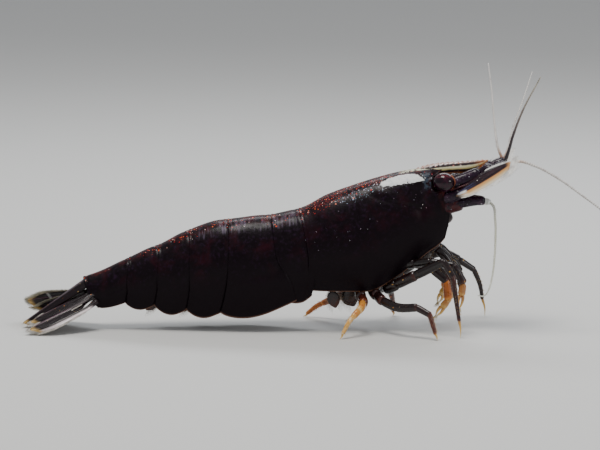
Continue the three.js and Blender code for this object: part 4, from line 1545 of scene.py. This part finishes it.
def makePleopods(label, side):
    look = pleopods
    for number, ((along, up), across) in enumerate(zip(look["tops"], look["across"]), 1):
        bm = newMesh()
        leafWidth = look["leafWidth"]
        root = onBody(along, across * side, up + 0.35)
        tip = onBody(along, across * side, up) + Vector(look["backwards"])
        if number == 1:
            # The first pair hangs forwards from under the carapace, one before the other.
            (x, z), reach, leafWidth = look["first"][label]
            root = Vector((x, across * side, z))
            tip = root + Vector(reach)
        stemEnd = root.lerp(tip, look["stemShare"])
        addArticle(bm, [root, root.lerp(stemEnd, 0.5), stemEnd], 0.24, 0.2, 0.1, 16, 16, 0.7)
        forwards = (tip - stemEnd).normalized()
        upright = Vector((-forwards.z, 0, forwards.x))
        for off, size in look["leaves"]:
            aside = Vector((0, off * side, 0))
            leafRoot = stemEnd + aside - forwards * 0.08
            leafTip = leafRoot.lerp(tip + aside, size)
            half = leafWidth / 2 * size

            def outline(t):
                return math.sin(math.pi * (0.1 + 0.84 * t))

            tube(bm, [leafRoot, (leafRoot + leafTip) / 2, leafTip],
                 lambda t: (0.045 * capped(t, 0.25), half * max(0.02, outline(t)) ** 0.7 * capped(t, 0.3)),
                 16, 20, lambda t: 0.12 + 0.2 * t, ease=0.5)
            for i in range(look["fringeCount"]):
                t = (i + random.random() * 0.5) / look["fringeCount"]
                edge = 1 if i % 2 else -1
                spot = leafRoot.lerp(leafTip, t) + upright * (half * outline(t) ** 0.7) * edge * 0.9
                reach = (upright * edge + forwards * lerp(0.6, 2.2, t)).normalized() * look["fringeLength"]
                addHair("pleopod_fringe", f"{number} {label} {size}", spot, reach, forwards * 0.05,
                        limbLook["hairWidth"], 0.5 + 0.4 * edge, t)
        addPiece(bm, f"pleopod_{number}_{label}_limb", limbFinish, "limb", [f"pleopod_{number}_{label}"])


for label, side in sides.items():
    makePleopods(label, side)

# Stubs that carry the side blades of the tail fan, from inside the last ring to the blades' roots.
tailStub = {"root": (-8.8, 0.14, 4.55), "middle": (-10.0, 0.24, 1.72), "end": (-10.85, 0.66, 1.3),
            "high": (0.4, 0.33), "wide": (0.2, 0.27), "raised": {"right": 0, "left": 0.09}}


def makeTailStubs():
    look = tailStub
    bm = newMesh()
    for label, side in sides.items():
        x, y, z = look["root"]
        raised = Vector((0, 0, look["raised"][label]))
        middle, end = (mirrored(look[key], side) + raised for key in ("middle", "end"))

        def stubSize(t):
            close = capped(min(t, 0.5), 0.2) * capped(max(t, 0.5), 0.3)
            return lerp(*look["wide"], t) * close, lerp(*look["high"], t) * close

        tube(bm, [onBody(x, y * side, z), middle, end], stubSize, 28, 30,
             lambda t: 0.02 + 0.1 * smoothStep(t, 0.8, 1.0), ease=0.6)
    addPiece(bm, "tail_fan_stubs", limbFinish, "limb")


makeTailStubs()

# The whips. width is the half thickness at the root and at the tip.
feelers = {
    "feeler_outer_right": {
        "nodes": ["feeler_outer_right_1", "feeler_outer_right_2"],
        "path": [(10.14, -0.6, 8.34), (10.52, -0.72, 8.46), (10.9, -0.82, 8.53), (11.6, -1.1, 8.36),
                 (12.8, -1.65, 7.77), (13.8, -2.15, 7.1),
                 (15.0, -2.75, 6.25), (16.3, -3.35, 5.15), (17.45, -3.87, 4.05)],
        "width": (0.085, 0.028), "rings": 76, "colors": "pale"},
    "feeler_inner_right": {
        "nodes": ["feeler_inner_right"],
        "path": [(10.14, -0.58, 8.4), (10.3, -0.6, 8.85),
                 (10.55, -0.66, 9.75), (10.95, -0.8, 10.9), (11.88, -1.1, 12.8)],
        "width": (0.105, 0.028), "rings": 40, "colors": "dark"},
    "feeler_outer_left": {
        "nodes": ["feeler_outer_left"],
        "path": [(10.16, 0.6, 8.38), (9.98, 0.75, 8.8),
                 (9.78, 1.8, 10.15), (9.7, 2.7, 11.5), (9.55, 3.62, 12.95)],
        "width": (0.078, 0.026), "rings": 52, "colors": "pale"},
    "feeler_inner_left": {
        "nodes": ["feeler_inner_left"],
        "path": [(10.18, 0.62, 8.34), (10.34, 0.8, 8.75),
                 (10.7, 1.6, 9.9), (11.28, 2.6, 11.25), (11.77, 3.42, 12.55)],
        "width": (0.07, 0.024), "rings": 50, "colors": "pale"},
    "antenna_right": {
        "nodes": ["antenna_right_1", "antenna_right_2"],
        "path": [(9.38, -1.08, 6.55), (9.56, -1.22, 6.4), (9.66, -1.6, 5.75), (9.64, -2.3, 4.7),
                 (9.5, -3.45, 3.68), (9.25, -4.9, 3.0), (8.9, -6.5, 2.8), (8.5, -7.92, 3.05)],
        "width": (0.072, 0.024), "rings": 76, "colors": "glass"},
    "antenna_left": {
        "nodes": ["antenna_left_1", "antenna_left_2"],
        "path": [(9.38, 1.08, 6.23), (9.52, 1.3, 6.14), (9.38, 1.75, 6.03), (8.8, 2.55, 5.95),
                 (7.6, 3.4, 5.7), (5.15, 4.52, 5.1),
                 (2.5, 5.5, 4.5), (-1, 6.5, 3.65), (-4.05, 7.22, 2.88)],
        "width": (0.072, 0.024), "rings": 110, "colors": "glass"},
}
# From root to tip, and the dark bands between the rings.
feelerColors = {
    "pale": [(0.0, 0.3, 0.05, 0.02), (0.05, 0.55, 0.3, 0.16), (0.14, 0.74, 0.71, 0.66),
             (1.0, 0.8, 0.78, 0.74)],
    "dark": [(0.0, 0.01, 0.005, 0.008), (0.3, 0.035, 0.018, 0.022), (0.55, 0.26, 0.21, 0.18),
             (1.0, 0.55, 0.5, 0.4)],
    "glass": [(0.0, 0.74, 0.74, 0.66), (0.2, 0.56, 0.56, 0.44), (1.0, 0.6, 0.6, 0.5)],
}
feelerBands = {"pale": (0.16, 0.1, 0.1), "dark": (0.008, 0.004, 0.006), "glass": (0.3, 0.29, 0.2)}
# Up to where in a ring, and how thick it is there.
ringSteps = [(0.1, 0.86), (0.35, 1.0), (0.6, 1.06), (1, 1.1)]
rowsPerRing = 4
feelerSides = 10


def makeFeelerMaterial(kind, count):
    spot = startMaterial(f"feeler {kind} {count}")
    along = partsOf(surfacePlace())[1]
    band = inverse(between(maths("FRACT", times(along, float(count))), 0.22, 0.86, 0.14))
    color = over(ramp(along, feelerColors[kind]), band, feelerBands[kind], 0.75)
    blotch = noiseAt(spot, 2.6, 3.0, 0.6)
    color = over(color, rise(blotch, 0.52, 0.66), feelerBands[kind], 0.35)
    return finishMaterial(color, 0.34, blotch, 0.1, 0.01, clearCoat(0.3, 0.15))


def makeFeeler(name, feeler):
    count = feeler["rings"]
    rows = count * rowsPerRing
    steps = pathSteps(feeler["path"], rows)
    bm = newMesh()

    def thickAt(t):
        return lerp(*feeler["width"], t ** 0.6)

    def place(u, v):
        spot, _, sideways, upwards = steps[round(v * rows)]
        ring = next(thick for end, thick in ringSteps if (v * count) % 1.0 < end)
        size = thickAt(v) * ring * (0 if v in (0, 1) else 1)
        return spot + outwardsAt(fullTurn * u, sideways, upwards) * size

    shapedGrid(bm, feelerSides, rows, place)
    addPiece(bm, name + "_whip", makeFeelerMaterial(feeler["colors"], count), "feeler", feeler["nodes"])
    for i in range(3, count - 1, 2):
        spot, forwards, sideways, upwards = steps[i * rowsPerRing]
        angle = random.uniform(0, fullTurn)
        outwards = outwardsAt(angle, sideways, upwards)
        root = spot + outwards * thickAt(i / count)
        addHair("feeler_hairs", name, root, (outwards * 0.6 + forwards) * 0.1, forwards * 0.02, 0.006,
                angle / fullTurn, i / count)


for name, feeler in feelers.items():
    makeFeeler(name, feeler)
print("feelers done")

marginHairs = {"onCarapace": 150, "onRing": 46, "from": 2.0, "to": 8.2, "width": 0.006}


# One hair on a plate's lower edge. share is its place along the edge.
def addMarginHair(host, side, along, low, tuck, reach, lean, share):
    root, _ = platePoint(along, side * 0.992, low, tuck, 0.0)
    reach = mirrored(reach, side) * random.uniform(0.6, 1.2)
    addHair("margin_hairs", f"{host} {side}", root, reach, (lean, 0, 0), marginHairs["width"], 0.5, share)


# The pale hairs between the side plates' edges and along the carapace's lower margin.
def edgeHairs():
    look = marginHairs
    for side in (-1, 1):
        for i in range(look["onCarapace"]):
            along = lerp(look["from"], look["to"], (i + random.random()) / look["onCarapace"])
            addMarginHair("carapace", side, along, carapaceLowAt(along), carapaceLook["tuck"],
                          (0.03, -0.03, -0.11), 0.02, i / look["onCarapace"])
        for ring in range(1, rings["count"]):
            for i in range(look["onRing"]):
                share = (i + random.random()) / look["onRing"]
                along = lerp(rings["low"][ring], rings["low"][ring - 1], share)
                addMarginHair(f"ring {ring}", side, along, plateLow(ring, share), rings["tuck"],
                              (-0.04, -0.02, -0.12), -0.02, share)


edgeHairs()

hairLook = {
    "scale_fringe_right": (0.9, 0.88, 0.84),
    "scale_fringe_left": (0.9, 0.88, 0.84),
    "fan_fringe_right": (0.62, 0.58, 0.52),
    "fan_fringe_left": (0.52, 0.48, 0.36),
    "telson_fringe": (0.8, 0.6, 0.25),
    "leg_hairs": (0.4, 0.26, 0.12),
    "joint_hairs": (0.55, 0.5, 0.52),
    "pincer_tufts": (0.74, 0.6, 0.34),
    "pleopod_fringe": (0.42, 0.3, 0.22),
    "margin_hairs": (0.5, 0.36, 0.24),
    "feeler_hairs": (0.6, 0.56, 0.5),
}
hairLevels = [(0.0, 1.0), (0.35, 0.85), (0.7, 0.55)]  # how far along a seta, and how thick there
hairSlots = {"scale": "blade", "fan": "blade", "telson": "blade", "feeler": "feeler", "margin": "shell"}
hairPatch = 0.0015  # half size of a seta's patch on the unwrap
spikeSides = ((0, 1), (1, 2), (2, 0))  # which corners of a seta each of its sides joins


def makeHairMaterial(name, base):
    spot = startMaterial(name.replace("_", " "))
    dark = tuple(channel * 0.55 for channel in base)
    color = over(dark, rise(noiseAt(spot, 2.5, 3.0, 0.6), 0.35, 0.65), base)
    paintedBacklitGlow = 0.22 if min(base) > 0.7 else 0.0  # painted backlight: pale setae shine as if lit from behind
    light = {"Specular IOR Level": 0.4, "Emission Strength": paintedBacklitGlow, "Emission Color": (1, 0.98, 0.94)}
    return finishMaterial(color, 0.4, shader=light)


# One joined mesh for a coat: each seta is a bent three-sided spike on a small patch of its host's unwrap.
# The hosts' unwraps lie side by side on the map.
def makeCoat(name, setae):
    hosts = sorted({seta[1] for seta in setae})
    across = math.ceil(math.sqrt(len(hosts)))
    corners = [(math.cos(fullTurn * k / 3), math.sin(fullTurn * k / 3)) for k in range(3)]
    points, patches, faces = [], [], []
    for _, host, root, reach, bend, width, u, v in setae:
        start = len(points)
        cell = hosts.index(host)
        u = (cell % across + 0.04 + 0.92 * u) / across
        v = (cell // across + 0.04 + 0.92 * v) / across
        sideways = reach.cross(Vector((0.31, 0.2, 1))).normalized()
        upwards = sideways.cross(reach).normalized()
        for t, size in hairLevels:
            middle = root + reach * t + bend * t * t
            for x, y in corners:
                points.append(middle + (sideways * x + upwards * y) * width * size)
                patches.append((u + hairPatch * size * x, v + hairPatch * size * y))
        tip = len(points)
        points.append(root + reach + bend)
        patches.append((u, v))
        for level in range(start, tip - 3, 3):
            faces += [(level + a, level + b, level + b + 3, level + a + 3) for a, b in spikeSides]
        faces += [(tip - 3 + a, tip - 3 + b, tip) for a, b in spikeSides]
        faces.append((start + 2, start + 1, start))
    mesh = bpy.data.meshes.new(name)
    mesh.from_pydata([intoFrame @ point for point in points], [], faces)
    patchMap = mesh.uv_layers.new(name="OFBake")
    corner = np.empty(len(mesh.loops), dtype=np.int32)
    mesh.loops.foreach_get("vertex_index", corner)
    patchMap.data.foreach_set("uv", np.array(patches, dtype=np.float32)[corner].ravel())
    mesh.update()
    addMesh(mesh, name, makeHairMaterial(name, hairLook[name]), hairSlots.get(name.split("_")[0], "limb"))
    print(f"{name}: {len(setae)} setae")


for coatName in sorted({hair[0] for hair in hairs}):
    makeCoat(coatName, [hair for hair in hairs if hair[0] == coatName])
print("setae done")

# Camera, floor and light.
studio = {
    "elevation": 9,
    "lens": 200,
    "sensor": 36,
    "viewWidth": 0.03,  # metres
    "aim": (0, 0, 5.214),  # millimetres
    "floor": (0.7, 0.7, 0.68),
    "floorRadius": 4.0,
    "world": (0.78, 0.8, 0.84),
    "worldStrength": 0.5,
    # Each lamp's place and aim in metres, its size, power and color.
    "lamps": {
        "key": ((-0.02, -0.018, 0.125), (0, 0, 0.004), (0.06, 0.04), 0.11, (1, 0.97, 0.93)),
        "back strip": ((0.02, 0.06, 0.07), (0, 0, 0.006), (0.09, 0.02), 0.04, (0.93, 0.96, 1)),
        "front fill": ((0.09, -0.06, 0.04), (0.004, 0, 0.005), (0.03, 0.03), 0.02, (1, 1, 1)),
    },
}


# Puts a camera or lamp into the scene, turned to what it aims at.
def aimed(name, data, place, aim):
    thing = bpy.data.objects.new(name, data)
    thing.location = place
    thing.rotation_mode = "QUATERNION"
    thing.rotation_quaternion = (Vector(aim) - thing.location).to_track_quat("-Z", "Y")
    bpy.context.scene.collection.objects.link(thing)
    return thing


def areaLight(name, place, aim, size, power, color):
    data = bpy.data.lights.new(name, "AREA")
    data.shape = "RECTANGLE"
    data.size, data.size_y = size
    data.energy = power
    data.color = color
    aimed(name, data, place, aim).visible_camera = False


def makeFloor():
    bm = bmesh.new()
    bmesh.ops.create_circle(bm, cap_ends=True, segments=96, radius=studio["floorRadius"])
    mesh = bpy.data.meshes.new("floor")
    bm.to_mesh(mesh)
    bm.free()
    floor = bpy.data.objects.new("floor", mesh)
    bpy.context.scene.collection.objects.link(floor)
    startMaterial("pale floor")
    mesh.materials.append(finishMaterial(studio["floor"], 0.7))


def makeStudio():
    look = studio
    data = bpy.data.cameras.new("camera")
    data.lens = look["lens"]
    data.sensor_width = look["sensor"]
    data.clip_start, data.clip_end = 0.001, 20
    aim = intoFrame @ Vector(look["aim"])
    elevation = math.radians(look["elevation"])
    away = look["viewWidth"] * look["lens"] / look["sensor"]
    place = aim + Vector((0, -math.cos(elevation), math.sin(elevation))) * away
    bpy.context.scene.camera = aimed("camera", data, place, aim)
    makeFloor()
    world = bpy.data.worlds.new("studio")
    world.use_nodes = True
    background = world.node_tree.nodes["Background"].inputs
    plug(look["world"], background["Color"])
    plug(look["worldStrength"], background["Strength"])
    bpy.context.scene.world = world
    for name, values in look["lamps"].items():
        areaLight(name, *values)


makeStudio()
